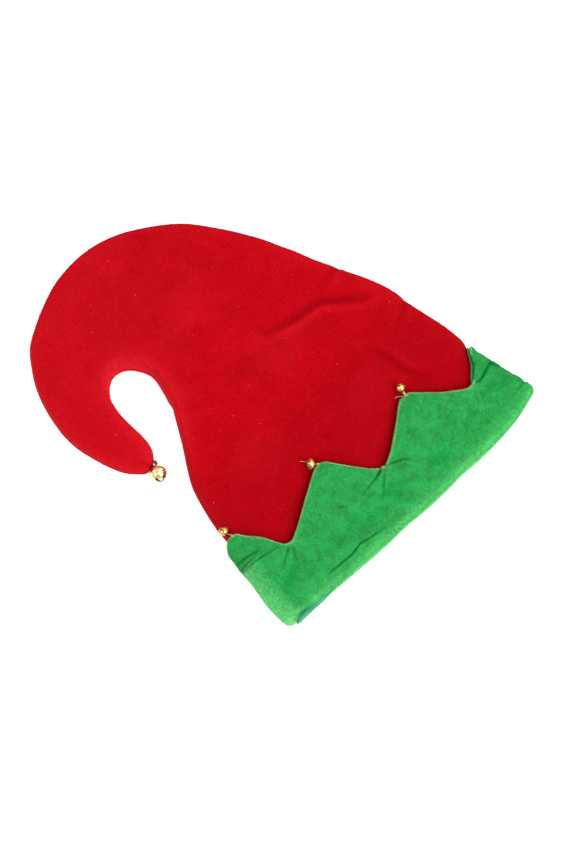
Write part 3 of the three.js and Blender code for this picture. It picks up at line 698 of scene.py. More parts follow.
# %% The cuff's free edge
# Place round the hat from the left edge over the top, and height as a share of CUFF_HEIGHT
EDGE = table("around rise", [
    [0.0, 0.905], [0.003, 0.955], [0.006, 0.97], [0.0125, 0.977], [0.016, 0.952], [0.0225, 0.905],
    [0.046, 0.757], [0.0583, 0.63],
    [0.065, 0.585], [0.0745, 0.572], [0.081, 0.584], [0.0958, 0.632], [0.13, 0.756], [0.178, 0.924],
    [0.19, 0.922], [0.198, 0.895], [0.24, 0.585], [0.2513, 0.522], [0.2596, 0.507], [0.267, 0.513],
    [0.2871, 0.573], [0.325, 0.72], [0.3542, 0.85], [0.3735, 0.848], [0.3808, 0.805], [0.41, 0.642],
    [0.4346, 0.534], [0.4425, 0.51], [0.4504, 0.507], [0.456, 0.52], [0.465, 0.554], [0.48, 0.614],
    [0.488, 0.7], [0.4955, 0.77], [0.5, 0.805], [0.535, 0.95],
    [0.545, 0.95], [0.585, 0.53], [0.678, 0.95], [0.688, 0.95], [0.7475, 0.53], [0.845, 0.95],
    [0.855, 0.95], [0.929, 0.55], [1.0, 0.905],
])
EDGE_SOFTNESS = 0.0013  # how far its corners are rounded, as a share of the way round
EDGE_STEPS = 4000
fine_around = np.linspace(0, 1, EDGE_STEPS + 1)[:-1]
reach = int(EDGE_SOFTNESS * EDGE_STEPS * 2.5)
weights = np.exp(-((np.arange(-reach, reach + 1) / (EDGE_SOFTNESS * EDGE_STEPS)) ** 2))
sharp_edge = np.interp(fine_around, EDGE["around"], EDGE["rise"])
soft_edge = sum(w * np.roll(sharp_edge, k - reach) for k, w in enumerate(weights)) / weights.sum()


def edge_height(around):
    """Height of the cuff's free edge, in millimetres."""
    return np.interp(around % 1, fine_around, soft_edge) * CUFF_HEIGHT


print(f"free edge from {soft_edge.min() * CUFF_HEIGHT:.0f} to {soft_edge.max() * CUFF_HEIGHT:.0f} mm")

# %% Places round the hat
ABOVE, BELOW = 360, 150  # columns of the cuff and its facing on top of the hat and underneath


def around_at(angle):
    """Place round the hat, from 0 to 1, at an angle round the section."""
    half = np.floor(angle / math.pi)
    return (half + (1 - np.cos(angle - half * math.pi)) / 2) / 2


def angle_at(around):
    """The angle round the section at a place round the hat."""
    half = np.floor(around * 2)
    return math.pi * half + np.arccos(1 - 2 * (around * 2 - half))


def arc_angle(distance, half_width, roll):
    """The angle round a section at a distance round it from one of its edges."""
    quarter = roll * math.pi / 2
    inward = np.abs(distance)
    bend = roll * (1 - np.cos(np.minimum(inward, quarter) / roll))
    from_edge = np.where(inward < quarter, bend, roll + inward - quarter)
    return np.copysign(np.arccos(np.clip(1 - from_edge / half_width, -1, 1)), distance)


def ring_angles(above, below):
    """Angles at even distances round the hat, so many on top and so many underneath."""
    half_width, roll = MOUTH_WIDTH / 2 - 3, MOUTH_ROLL - 1  # about those low on the cuff
    length = 2 * (half_width - roll + roll * math.pi / 2)
    halves = []
    for start, columns in ((0, above), (math.pi, below)):
        distance = np.arange(columns) * length / columns
        near = arc_angle(distance, half_width, roll)
        far = math.pi - arc_angle(length - distance, half_width, roll)
        halves.append(start + np.where(distance < length / 2, near, far))
    return np.concatenate(halves)[None, :]


print("columns round the cuff:", ring_angles(ABOVE, BELOW).shape[1])

# %% [markdown]
# ## Crown
# Two panels meet in a seam all round the outline. Near the inner edge the seam has rolled on to the top,
# so it shows as a fine line there. The sewing draws the cloth in, with small puckers along it.

# %% Places on a panel
CROWN_START = ROLL_OUTSIDE + CLEARANCE
SEAM_ROLL = 3.6  # how far the inner seam has rolled on to the top
SEAM_ROLL_FROM, SEAM_ROLL_TO = 92, 212  # where, as heights above the mouth
BEND_ALONG = SECTIONS["along"][9]  # where the crown bends over
BORDER = np.array([0, 0.35, 0.9, 1.7, 2.8])  # columns close to the seam
CAP_ROWS = [0.25, 0.45, 0.62, 0.76, 0.87, 0.95]  # rows on the rounded tip, as shares of its length


def seam_shift(along):
    """How far the inner seam lies on the top at a place along the hat."""
    inner_y = curve_through(SECTIONS, "along", "inner_y", np.minimum(along, TIP_ALONG))
    rolled = soft_step(SEAM_ROLL_FROM, SEAM_ROLL_FROM + 18, inner_y)
    ends = 1 - soft_step(SEAM_ROLL_TO - 5, SEAM_ROLL_TO, inner_y)
    return SEAM_ROLL * rolled * ends * (along < BEND_ALONG)


def crown_rows(row_step):
    """Places along the hat for a panel's rows, the last one round the hole at the tip."""
    tip_start = TIP_ALONG - TIP_CAP
    straight = np.linspace(CROWN_START, tip_start, int((tip_start - CROWN_START) / row_step))
    hole = math.sqrt(1 - (TIP_HOLE / TIP_RADIUS) ** 2)
    cap = np.array(CAP_ROWS + [hole]) * TIP_CAP
    return np.concatenate([straight, tip_start + cap])[:, None]


def crown_grid(upper, row_step, columns):
    """Places along and angles for a panel, and how far each is from the seam, round the section."""
    along = crown_rows(row_step)
    _, half, _, _, roll = section_at(along)
    half_width = np.hypot(*half)
    length = 2 * (half_width - roll + roll * math.pi / 2)
    shift = seam_shift(along)
    own = length - shift if upper else length + shift
    border = BORDER * np.minimum(1, own / 14)  # they draw together where the panel is narrow
    between = mix(border[:, -1:], own - border[:, -1:], np.linspace(0, 1, columns)[None, 1:-1])
    distance = np.concatenate([border, between, own - border[:, ::-1]], axis=1)
    from_seam = np.minimum(distance, own - distance)
    if upper:
        distance = distance + shift
    near = arc_angle(distance, half_width, roll)
    far = math.pi - arc_angle(length - distance, half_width, roll)
    angle = np.where(distance < length / 2, near, far) + (0 if upper else math.pi)
    return np.broadcast_to(along, angle.shape), angle, from_seam


print(f"the panels run from {CROWN_START:.1f} mm to the tip")

# %% Sew the two panels
PUCKER_LENGTH, PUCKER_DEPTH = 7.5, 0.1
# painted sheen at the outline, painted light inside the curl, lighter towards the tip, painted highlight on
# what swells
OUTLINE_SHEEN, CURL_PAINTED_LIGHT, TIP_LIGHTER, SWELLING_HIGHLIGHT = 0.35, 0.5, 0.12, 0.2
# painted shade in a crease, darker towards the mouth, painted shadow beside the cuff's points, darker in the
# rolled seam
CREASE_SHADE, MOUTH_DARK, POINTS_SHADOW, SEAM_DARK = 0.5, 0.26, 0.55, 0.9


def crown_panel(name, upper, row_step, columns):
    """One panel of the crown, from under the cuff to the tip."""
    along, angle, from_seam = crown_grid(upper, row_step, columns)
    place, out = outward(along, angle)
    x, y = place[..., 0], place[..., 1]
    # the relief fades out under the cuff, and just past it there is little room to swell
    clear_of_cuff = soft_step(CUFF_HEIGHT * 0.48, CUFF_HEIGHT * 0.6, along)
    room = mix(0.3, 3, soft_step(CUFF_HEIGHT * 0.85, CUFF_HEIGHT * 1.2, along))
    relief, closed = crease_relief(CROWN_CREASES, x, y) if upper else (0, 0)
    relief = relief + dent_relief(x, y)
    if upper:
        relief += sum(height * ripples(x, y, size, phase) for height, size, phase in CROWN_RIPPLES)
    pucker = PUCKER_DEPTH * np.cos(2 * math.pi * (x + y) / PUCKER_LENGTH) * np.exp(-from_seam / 4)
    relief = np.minimum(relief + pucker, room) * clear_of_cuff - np.exp(-((from_seam / 1.1) ** 2))
    thin = (1 - edge_thickness(from_seam, CROWN_CLOTH)) * CROWN_CLOTH / 2
    face = place + out * (relief - thin)[..., None]
    back = place + out * (relief - CROWN_CLOTH + thin)[..., None]
    # painted sheen, light and highlight, and painted shade, over millimetres along the hat
    _, half, _, _, _ = section_at(along)
    to_outline = np.hypot(*half) * (1 - np.abs(np.cos(angle)))
    outline = np.exp(-to_outline / 5)
    inner_curl = (np.cos(angle) > 0) * soft_step(140, 200, along)
    # painted sheen on the outline, painted light inside the curl and a painted highlight on what swells
    nap = (OUTLINE_SHEEN * outline + CURL_PAINTED_LIGHT * inner_curl * np.exp(-to_outline / 7)
           + TIP_LIGHTER * soft_step(100, 420, along) + SWELLING_HIGHLIGHT * np.clip(relief, 0, 1))
    # painted shade in creases, darker towards the mouth, painted shadow beside the cuff's points
    crease = CREASE_SHADE * closed + MOUTH_DARK * (1 - soft_step(60, 190, along))
    if upper:
        past_cuff = along - edge_height(around_at(angle))
        crease += POINTS_SHADOW * np.exp(-np.abs(past_cuff) / 5) * (1 - soft_step(95, 110, along))
        crease += SEAM_DARK * np.exp(-((from_seam / 0.9) ** 2)) * seam_shift(along) / SEAM_ROLL
    return cloth_sheet(name, face, back, False, red_velvet, nap=nap, crease=crease, pile=outline)


crown_upper = crown_panel("crown_upper", upper=True, row_step=2.3, columns=170)
crown_lower = crown_panel("crown_lower", upper=False, row_step=3.4, columns=90)

# %% [markdown]
# ## Cuff
# The cuff is one green ring. It starts inside the mouth, rolls over the rim and comes up the outside to
# its six points. Its columns go round the hat at even distances and its rows stretch up to the free
# edge, so the points need no cutting. The colour is lighter round each valley, where the cut is clipped.

# %% How far the cuff stands off the crown
CUFF_PUFFS = table("rise side top", [
    [0.0, 0.4, 0.3],
    [0.12, 0.8, 0.55],
    [0.28, 0.8, 0.35],
    [0.5, 0.0, 0.6],
    [0.72, 0.4, 0.8],
    [0.9, 0.4, 0.5],
    [1.0, 0.4, 0.2],
])
ROLL_SINE = math.sin(math.acos(1 - MOUTH_ROLL / (MOUTH_WIDTH / 2)))


def cuff_puff(rise, angle):
    """How far the cuff stands off the crown, over its own layers."""
    edgeness = 1 - soft_step(0, ROLL_SINE, np.abs(np.sin(angle)))
    side = curve_through(CUFF_PUFFS, "rise", "side", rise) * edgeness
    top = np.where(np.sin(angle) >= 0, curve_through(CUFF_PUFFS, "rise", "top", rise) * (1 - edgeness), 0)
    return (side + top) * CUFF_PUFF


print("puff halfway up:", cuff_puff(0.5, math.pi / 2).round(1), "mm")

# %% Sew the cuff
SLIT_PLACE, SLIT_DEPTH = 0.022, 1.8  # where the upper rim dips away from the facing, and how far
SLIT_SHADE_PLACE, SLIT_SHADOW = 0.018, 0.9  # where painted shadow darkens the slit, and how dark
VALLEYS = (0.0745, 0.2596, 0.448)  # places round the hat where the cut between points is clipped
TURNED_IN = (0.457, 0.488)  # places round the hat between which the free edge is turned in
EDGE_ROWS = np.array([3.4, 2.2, 1.3, 0.7, 0.25, 0])  # rows close to the free edge
# painted sheen on the rim, painted light on the lower rim where the upper one shades it, painted sheen on the
# left edge, a painted highlight on the free edge, lighter round the valleys, and a painted highlight on
# ridges
RIM_SHEEN, LOWER_RIM_LIGHT, LEFT_EDGE_SHEEN, FREE_EDGE_HIGHLIGHT, VALLEY_LIGHTER, RIDGE_HIGHLIGHT = 0.3, 0.5, 0.6, 0.5, 0.4, 0.12
# painted shade in the cuff's creases
CUFF_CREASE_SHADE = 0.7
FAR_AWAY = 99  # millimetres, for places on the roll, which are near no edge


def cuff_sheet(name, above, below, rows, roll_steps):
    """The cuff, from inside the mouth over the rim and up the outside to its free edge."""
    angle = ring_angles(above, below)
    top = edge_height(around_at(angle))
    turn = np.linspace(-math.pi / 2, math.pi / 2, roll_steps)[:, None]
    body = mix(ROLL_OUTSIDE, top - EDGE_ROWS[0], np.linspace(0, 1, rows)[1:-1, None])
    outside = np.concatenate([body, top - EDGE_ROWS[:, None]])
    nose_along = ROLL_OUTSIDE - ROLL_OUTSIDE * np.cos(turn) + 0 * angle
    along = np.concatenate([nose_along, outside])
    angle = np.broadcast_to(angle, along.shape)
    turn = np.concatenate([turn, np.full((len(outside), 1), math.pi / 2)]) + 0 * angle
    place = crown_point(along, angle)
    x, y = place[..., 0], place[..., 1]
    upper = soft_step(-0.05, 0.05, np.sin(angle))
    outer_half = np.clip(np.sin(turn), 0, 1)
    wave = sum(height * ripples(x, y, size, phase) for height, size, phase in CUFF_RIPPLES)
    relief, closed = crease_relief(CUFF_CREASES, x, y)
    relief = (relief + wave) * upper - 0.25 * (1 - upper)
    on_roll = turn < 1.57  # just under a quarter turn
    to_edge = np.where(on_roll, FAR_AWAY, top - along)
    # the cloth swells a little behind its free edge, which the stitches draw in
    pillow = 0.45 * np.exp(-(((to_edge - 4) / 3) ** 2)) - 0.6 * np.exp(-((to_edge / 1.2) ** 2))
    around = around_at(angle)
    # at the right corner the free edge lies flat
    corner = np.exp(-(((around - 0.5) / 0.012) ** 2)) * np.exp(-np.maximum(0, to_edge) / 9)
    puff = cuff_puff(along / CUFF_HEIGHT, angle) * (1 - corner)
    relief = (relief + pillow * upper + puff) * outer_half
    at_slit = np.exp(-(((around - SLIT_PLACE) / 0.011) ** 2)) * np.exp(-along / 5)
    relief -= SLIT_DEPTH * at_slit * soft_step(-0.6, 0.3, turn)
    thin = (1 - edge_thickness(to_edge, CUFF_CLOTH)) * CUFF_CLOTH / 2

    def layer(radius, inset):
        lengthwise = (ROLL_OUTSIDE - radius) * np.cos(turn)
        return off_crown(along + lengthwise, angle, ROLL_MIDDLE + radius * np.sin(turn) + inset)

    # the back follows the face less, so it keeps off the facing
    face = layer(ROLL_OUTSIDE, relief - thin)
    back = layer(ROLL_OUTSIDE - CUFF_CLOTH, np.maximum(relief, -0.3) * 0.8 + thin)
    # where painted sheen, light and highlights lighten the pile, and where painted shade darkens it
    rim = np.exp(-np.maximum(0, along - 3) / 3)
    beside = (1 - soft_step(0.1, 0.42, np.abs(np.sin(angle)))) * (np.cos(angle) > 0)
    left_edge = beside * (1 - soft_step(56, 64, y))
    hidden = (around > TURNED_IN[0]) & (around < TURNED_IN[1])
    free_edge = np.exp(-np.abs(to_edge) / 0.9) * ~hidden
    puckers = sum(np.exp(-(((around - valley) / 0.012) ** 2)) for valley in VALLEYS)
    puckers = puckers * np.exp(-np.abs(to_edge) / 3)
    nap = (RIM_SHEEN * rim + LOWER_RIM_LIGHT * rim * (1 - upper) + LEFT_EDGE_SHEEN * left_edge
           + FREE_EDGE_HIGHLIGHT * free_edge + VALLEY_LIGHTER * puckers + RIDGE_HIGHLIGHT * np.clip(relief, 0, 1))
    # painted shadow in the slit under the upper rim, and painted shade in the creases
    slit = np.exp(-(((around - SLIT_SHADE_PLACE) / 0.012) ** 2)) * (1 - soft_step(0.5, 1.1, turn))
    crease = CUFF_CREASE_SHADE * closed * upper * outer_half + SLIT_SHADOW * slit * upper
    pile = np.maximum(rim, left_edge) * upper + free_edge + 0.6 * puckers
    return cloth_sheet(name, face, back, True, green_velvet, nap=nap, crease=crease, pile=pile), face


cuff, cuff_face = cuff_sheet("cuff", ABOVE, BELOW, rows=72, roll_steps=11)

# %% [markdown]
# ## Facings
# A thin teal cloth backs the cuff. One ring of it lies behind the points and peeps out beside two of
# them. The other lines the mouth, and near its left corner it has rolled out over the lower rim.

# %% Facing behind the points
# how far it reaches past the cuff's free edge, in millimetres, at places round the hat
PEEK = table("around reach", [
    [0.0, 0.3], [0.022, 0.3], [0.034, 1.9], [0.058, 1.7], [0.074, 0.3], [0.452, 0.3], [0.46, 2.2],
    [0.481, 2.8], [0.489, 0.5], [1.0, 0.3],
])
PEEK_RISE = 1.6  # how far its free edge curls up there, in millimetres
PEEK_ROWS = np.array([1.8, 0.9, 0.4, 0.1, 0])  # rows close to its free edge


def point_facing_sheet(name, above, below, rows):
    """The ring of facing behind the cuff's points."""
    angle = ring_angles(above, below)
    around = around_at(angle)
    top = edge_height(around) + np.interp(around, PEEK["around"], PEEK["reach"])
    body = mix(CUFF_HEIGHT * 0.3, top - 3, np.linspace(0, 1, rows)[:, None])
    along = np.concatenate([body, top - PEEK_ROWS[:, None]])
    angle = np.broadcast_to(angle, along.shape)
    thin = (1 - edge_thickness(top - along, FACING_CLOTH)) * FACING_CLOTH / 2
    past_cuff = np.clip((along - edge_height(around)) / 2, 0, 1)
    curl = PEEK_RISE * past_cuff * (around < 0.5)
    face = off_crown(along, angle, FACING_FRONT - thin + curl)
    back = off_crown(along, angle, FACING_BACK + thin + curl)
    return cloth_sheet(name, face, back, True, teal_facing)


point_facing = point_facing_sheet("point_facing_cloth", ABOVE, BELOW, rows=14)

# %% Facing in the mouth
TUCKED = 0.04  # share of the turn over the rim that the facing makes where it stays inside
ROLLED_OUT = table("across share", [
    [0.0, 0.3], [0.014, 1.0], [0.08, 1.0], [0.14, 0.5], [0.21, TUCKED], [1.0, TUCKED],
])
ROLLED_TURN = 1.9  # how far round the rim the facing comes, in radians
ROLLED_SWELL = 0.3  # how far it stands out past the rim, in millimetres
INSIDE_ROWS, TURN_ROWS = 14, 13  # rows of the facing inside the mouth and on its turn


def mouth_facing_sheet(name, columns):
    """The ring of facing in the mouth, from deep inside to the rim and, at the left, round it."""
    angle = ring_angles(columns, columns)
    across = (1 - np.cos(angle)) / 2
    rolled = np.interp(across, ROLLED_OUT["across"], ROLLED_OUT["share"])
    share = np.where(np.sin(angle) < 0, rolled, TUCKED)
    turn = -math.pi / 2 + ROLLED_TURN * share * np.linspace(0, 1, TURN_ROWS)[:, None]
    over_rim = ROLL_OUTSIDE + CLEARANCE
    straight = np.linspace(FACING_DEPTH, CROWN_START + 3, INSIDE_ROWS)[:, None] + 0 * angle
    angle = np.broadcast_to(angle, (len(straight) + len(turn), angle.shape[1]))

    def layer(depth):
        rim_radius = over_rim + depth
        past_rim = rim_radius + ROLLED_SWELL * np.maximum(0, share - TUCKED)
        along = np.concatenate([straight, ROLL_OUTSIDE - past_rim * np.cos(turn)])
        inside = np.full(straight.shape, LINING_FRONT - depth)
        distance = np.concatenate([inside, ROLL_MIDDLE + rim_radius * np.sin(turn)])
        return off_crown(along, angle, distance)

    return cloth_sheet(name, layer(FACING_CLOTH)[::-1], layer(0)[::-1], True, teal_facing)


mouth_facing = mouth_facing_sheet("mouth_facing_cloth", columns=180)

# %% [markdown]
# ## Bells
# A jingle bell is two stamped brass cups, crimped together round the middle. Two crossed slots with
# round ends open it at one end, and a wire loop is fixed to the other. One bell is turned on a lathe with
# a radius of 1, its slots are cut out by Booleans, and seven copies of it go to their places. The tip's
# bell has the paler plate.

# %% Helpers for bells
def lathe_object(name, profile, sides):
    """A surface from pairs of radius and height, both ends on the axis, turned about Z."""
    profile = np.array(profile, float)
    turn = np.arange(sides) * 2 * math.pi / sides
    rings = profile[1:-1]
    x = rings[:, :1] * np.cos(turn)
    y = rings[:, :1] * np.sin(turn)
    z = rings[:, 1:] + 0 * x
    points = [(0, 0, profile[0, 1]), (0, 0, profile[-1, 1])] + list(np.stack([x, y, z], -1).reshape(-1, 3))
    corner = 2 + np.arange(len(rings) * sides).reshape(len(rings), sides)
    corner = np.concatenate([corner, corner[:, :1]], axis=1)
    quads = np.stack([corner[:-1, :-1], corner[:-1, 1:], corner[1:, 1:], corner[1:, :-1]], -1).reshape(-1, 4)
    faces = [list(quad) for quad in quads]
    faces += [[0, b, a] for a, b in zip(corner[0, :-1], corner[0, 1:])]
    faces += [[1, a, b] for a, b in zip(corner[-1, :-1], corner[-1, 1:])]
    mesh = bpy.data.meshes.new(name)
    mesh.from_pydata(points, [], faces)
    return new_object(name, mesh)


def arc_profile(radius, start, end, steps):
    """Pairs of radius and height along a circle, between two heights given as angles in degrees."""
    turns = np.radians(np.linspace(start, end, steps))
    return [(radius * math.cos(t), radius * math.sin(t)) for t in turns]


# %% Helpers for boxes, wire and thread
def evaluated_mesh(thing):
    """The mesh that an object's modifiers make of it."""
    bpy.context.view_layer.update()
    return bpy.data.meshes.new_from_object(thing.evaluated_get(bpy.context.evaluated_depsgraph_get()))


def box_object(name, size, centre):
    """A plain box."""
    corners = [[c + s * side / 2 for c, s, side in zip(centre, size, sides)]
               for sides in ((-1, -1, -1), (1, -1, -1), (1, 1, -1), (-1, 1, -1),
                             (-1, -1, 1), (1, -1, 1), (1, 1, 1), (-1, 1, 1))]
    mesh = bpy.data.meshes.new(name)
    sides = [(3, 2, 1, 0), (4, 5, 6, 7), (0, 1, 5, 4), (1, 2, 6, 5), (2, 3, 7, 6), (3, 0, 4, 7)]
    mesh.from_pydata(corners, [], sides)
    return new_object(name, mesh)


def tube_mesh(name, paths, radius, closed=False, roundness=2):
    """Round wire or thread along one or more lists of places, in metres."""
    curve = bpy.data.curves.new(name, "CURVE")
    curve.dimensions = "3D"
    curve.bevel_depth = radius
    curve.bevel_resolution = roundness
    curve.use_fill_caps = not closed
    for path in paths:
        spline = curve.splines.new("POLY")
        spline.points.add(len(path) - 1)
        spline.points.foreach_set("co", np.append(path, np.ones((len(path), 1)), axis=1).reshape(-1))
        spline.use_cyclic_u = closed
        spline.use_smooth = True
    holder = new_object(name, curve)
    mesh = evaluated_mesh(holder)
    bpy.data.objects.remove(holder)
    return mesh


# %% Turn and cut one bell
# sizes as shares of the bell's radius
CUP_WALL = 0.1
SLOT_WIDTH, SLOT_REACH, SLOT_END = 0.24, 0.62, 0.19
LOOP_SEAT, LOOP_RADIUS, LOOP_WIRE = 1.18, 0.24, 0.09
lip = [(0.96, -0.1), (1.07, -0.07), (CRIMP, -0.03), (CRIMP, 0.03), (1.07, 0.07), (0.96, 0.1)]
lower_cup, upper_cup = arc_profile(1, -84, -10, steps=15), arc_profile(1, 10, 84, steps=15)
cups = lathe_object("cups", [(0, -1)] + lower_cup + lip + upper_cup + [(0, 1)], sides=40)
hollow = lathe_object(
    "hollow", [(0, CUP_WALL - 1)] + arc_profile(1 - CUP_WALL, -80, 80, steps=17) + [(0, 1 - CUP_WALL)],
    sides=40)
slots = [
    box_object("slot_1", (2 * SLOT_REACH, SLOT_WIDTH, 1.4), (0, 0, -1)),
    box_object("slot_2", (SLOT_WIDTH, 2 * SLOT_REACH, 1.4), (0, 0, -1)),
]
for across, aside in ((1, 0), (-1, 0), (0, 1), (0, -1)):
    hole = lathe_object("hole", [(0, -1.5), (SLOT_END, -1.5), (SLOT_END, -0.3), (0, -0.3)], sides=16)
    hole.data.transform(Matrix.Translation((across * SLOT_REACH, aside * SLOT_REACH, 0)))
    slots.append(hole)
for cutter in [hollow] + slots:
    cut = cups.modifiers.new("cut", "BOOLEAN")
    cut.operation, cut.solver, cut.object = "DIFFERENCE", "EXACT", cutter
bell_mesh = evaluated_mesh(cups)
loop_turns = np.linspace(0, 2 * math.pi, 25)[:-1]
loop_path = np.stack([
    LOOP_RADIUS * np.cos(loop_turns), 0 * loop_turns, LOOP_SEAT + LOOP_RADIUS * np.sin(loop_turns)], -1)
loop_mesh = tube_mesh("loop", [loop_path], LOOP_WIRE, closed=True)
unit_bell = bmesh.new()
unit_bell.from_mesh(bell_mesh)
unit_bell.from_mesh(loop_mesh)
for helper in [cups, hollow] + slots:
    bpy.data.objects.remove(helper)
print("one bell:", sum(len(face.verts) - 2 for face in unit_bell.faces), "triangles")

# %% A copy of the bell
def bell_object(name, radius, centre, loop_way, turn, plate):
    """A copy of the bell, with its centre and its loop's direction in the hat's own millimetres."""
    mesh = bpy.data.meshes.new(name)
    unit_bell.to_mesh(mesh)
    upright = Vector((0, 0, 1)).rotation_difference(Vector(loop_way)).to_matrix().to_4x4()
    middle = Vector((np.array(centre) - HAT_MIDDLE) * MM)
    twist = Matrix.Rotation(math.radians(turn), 4, "Z")
    mesh.transform(Matrix.Translation(middle) @ upright @ Matrix.Scale(radius * MM, 4) @ twist)
    mesh.polygons.foreach_set("use_smooth", np.ones(len(mesh.polygons), bool))
    mesh.set_sharp_from_angle(angle=math.radians(35))
    mesh.materials.clear()
    mesh.materials.append(plate)
    mesh.polygons.foreach_set("material_index", np.zeros(len(mesh.polygons), int))
    return new_object(name, mesh)


# %% Hang a bell on each point
PEAK_GAP = 0.8  # between the wire loop and the cuff's point
LOOP_REACH = LOOP_SEAT + LOOP_RADIUS + LOOP_WIRE
BELL_FROM_PEAK = BELL_RADIUS * LOOP_REACH + PEAK_GAP + CLEARANCE
# place round the hat, height as a share of CUFF_HEIGHT, lean in degrees, turn about the loop in degrees
# and how far the loop hangs below the way to the peak
BELLS = {
    "upper_left": (0.0114, 0.987, -21, 40, 1.5),
    "upper_middle": (0.1864, 0.948, -65, 20, 0.9),
    "upper_right": (0.3679, 0.854, -1, 10, 0.4),
    "lower_right": (0.54, 0.95, 0, 30, 0),
    "lower_middle": (0.683, 0.95, 0, 0, 0),
    "lower_left": (0.85, 0.95, 0, 60, 0),
}
bells, loop_ends, peak_angles = {}, {}, {}
for place, (around, rise, lean, turn, droop) in BELLS.items():
    lean = math.radians(lean)
    angle = float(angle_at(around + BELL_FROM_PEAK * math.sin(lean) / (2 * MOUTH_WIDTH)))
    centre = off_crown(
        rise * CUFF_HEIGHT + BELL_FROM_PEAK * math.cos(lean), angle, BELL_REACH + CLEARANCE, False)
    if around > 0.5:  # the lower bells lie on the table
        centre[2] = BELL_REACH
    peak_angle = float(angle_at(around))
    peak = off_crown(rise * CUFF_HEIGHT, peak_angle, (CUFF_BACK + CUFF_FRONT) / 2, False)
    loop_way = (peak - centre) / np.linalg.norm(peak - centre)
    loop_way = loop_way - [0, 0, droop]
    loop_way /= np.linalg.norm(loop_way)
    bells[place] = bell_object(place + "_bell", BELL_RADIUS, centre, loop_way, turn, gold_plate)
    loop_ends[place] = centre + loop_way * BELL_RADIUS * LOOP_SEAT
    peak_angles[place] = peak_angle
print("bells:", ", ".join(bells))

# %% Hang the big bell on the tip
TIP_BELL_RADIUS = 7.75
# how far its middle lies past the tip, as a share of its reach, and aside, as a share of its radius
TIP_BELL_OUT, TIP_BELL_ASIDE = 0.9, 0.42
TIP_BELL_TURN = math.radians(48)  # between its loop and the way back to the tip
TIP_BELL_TWIST = 25  # turn about the loop, in degrees
last = {name: values[-1] for name, values in SECTIONS.items()}
chord = np.array([last["inner_x"] - last["outer_x"], last["inner_y"] - last["outer_y"], 0])
chord /= np.linalg.norm(chord)
tip_way = np.array([chord[1], -chord[0], 0])
tip_middle = np.array([last["outer_x"] + last["inner_x"], last["outer_y"] + last["inner_y"], 0]) / 2
tip_reach = TIP_BELL_RADIUS * CRIMP
tip_centre = tip_middle + tip_way * (tip_reach * TIP_BELL_OUT + CLEARANCE)
tip_centre -= chord * TIP_BELL_RADIUS * TIP_BELL_ASIDE
tip_centre[2] = tip_reach
tip_loop = np.array(Matrix.Rotation(-TIP_BELL_TURN, 3, "Z") @ Vector(-tip_way))
bells["tip"] = bell_object("tip_bell", TIP_BELL_RADIUS, tip_centre, tip_loop, TIP_BELL_TWIST, pale_plate)
loop_ends["tip"] = tip_centre + tip_loop * TIP_BELL_RADIUS * LOOP_SEAT
print("tip bell at", tip_centre.round(1), "mm")

# %% [markdown]
# ## Threads
# Each bell hangs on a few turns of thread. A turn is a closed loop: through the wire loop, over the
# point of the cuff, down through the cloth and back. Some ends were left long and stick out.

# %% Helpers for thread
def smooth_loop(corners, steps=8):
    """A closed smooth line through some places."""
    corners = np.array(corners)
    before, after, later = (np.roll(corners, k, axis=0) for k in (1, -1, -2))
    t = (np.arange(steps) / steps)[None, :, None]
    p0, p1, p2, p3 = (p[:, None] for p in (before, corners, after, later))
    line = p1 + 0.5 * t * (p2 - p0 + t * (2 * p0 - 5 * p1 + 4 * p2 - p3 + t * (3 * (p1 - p2) + p3 - p0)))
    return line.reshape(-1, 3)


def thread_object(name, paths, radius, material, closed):
    """Thread along places in the hat's own millimetres."""
    places = [(np.array(path) - HAT_MIDDLE) * MM for path in paths]
    mesh = tube_mesh(name, places, radius * MM, closed, roundness=1)
    mesh.materials.clear()
    mesh.materials.append(material)
    return new_object(name, mesh)


# %% Sew the bells on
THREAD = 0.22  # radius, in millimetres
TURNS_ASIDE = (-0.007, 0.0, 0.006)  # how far each turn lies beside the point, as an angle
threads = []
for place, angle in peak_angles.items():
    edge = float(edge_height(around_at(np.array(angle))))
    loop = loop_ends[place]
    turns = []
    # each place of a turn: millimetres up the hat, the angle, and millimetres off the crown
    for aside in TURNS_ASIDE:
        inside = off_crown(edge - 2.6 + 30 * aside, angle + aside, CUFF_BACK + 0.9)
        above = off_crown(edge - 2.2 + 30 * aside, angle + aside, CUFF_FRONT + 0.55)
        below = off_crown(edge + 0.3, angle + aside, CUFF_BACK + 0.5)
        over = off_crown(edge + 0.4, angle + aside, CUFF_FRONT + 0.3)
        turns.append(smooth_loop([loop, over, above, inside, below]))
    threads.append(thread_object(place + "_thread", turns, THREAD, gold_thread, True))
print(len(threads), "bells sewn on")

# %% Leave loose ends at two points
# along in millimetres and place round the hat, then the way the end points and how high, in millimetres
LOOSE_ENDS = {
    "upper_middle": (86.4, 0.176, (-5.6, 8.8), 3.0),
    "upper_right": (75.0, 0.363, (-7.0, 5.5), 3.4),
}
for place, (along, around, (right, ahead), height) in LOOSE_ENDS.items():
    steps = np.linspace(0, 1, 9)
    sway = 0.6 * np.sin(steps * 4)
    path = off_crown(along + ahead * steps + sway, angle_at(around + right * steps / (2 * MOUTH_WIDTH)),
                     mix(height + 2, height * 0.5, steps))
    threads.append(thread_object(place + "_loose_end", [path], THREAD * 0.8, gold_thread, False))
print(len(LOOSE_ENDS), "loose ends")

# %% Tie the tip's bell on
TIP_THREAD, TIP_END_THREAD = 0.5, 0.4  # radius of the tie and of its loose ends
tip_end = np.append(tip_middle[:2], EDGE_ROLL)
tip_inside = tip_end - tip_way * 2.5
tip_turns = [
    smooth_loop([
        loop_ends["tip"], tip_end + chord * (2.4 + k) + [0, 0, 1.6],
        tip_inside + chord * (1 + k), tip_end + chord * (2 + k) - [0, 0, 1.2]])
    for k in (-0.8, 0, 0.8)
]
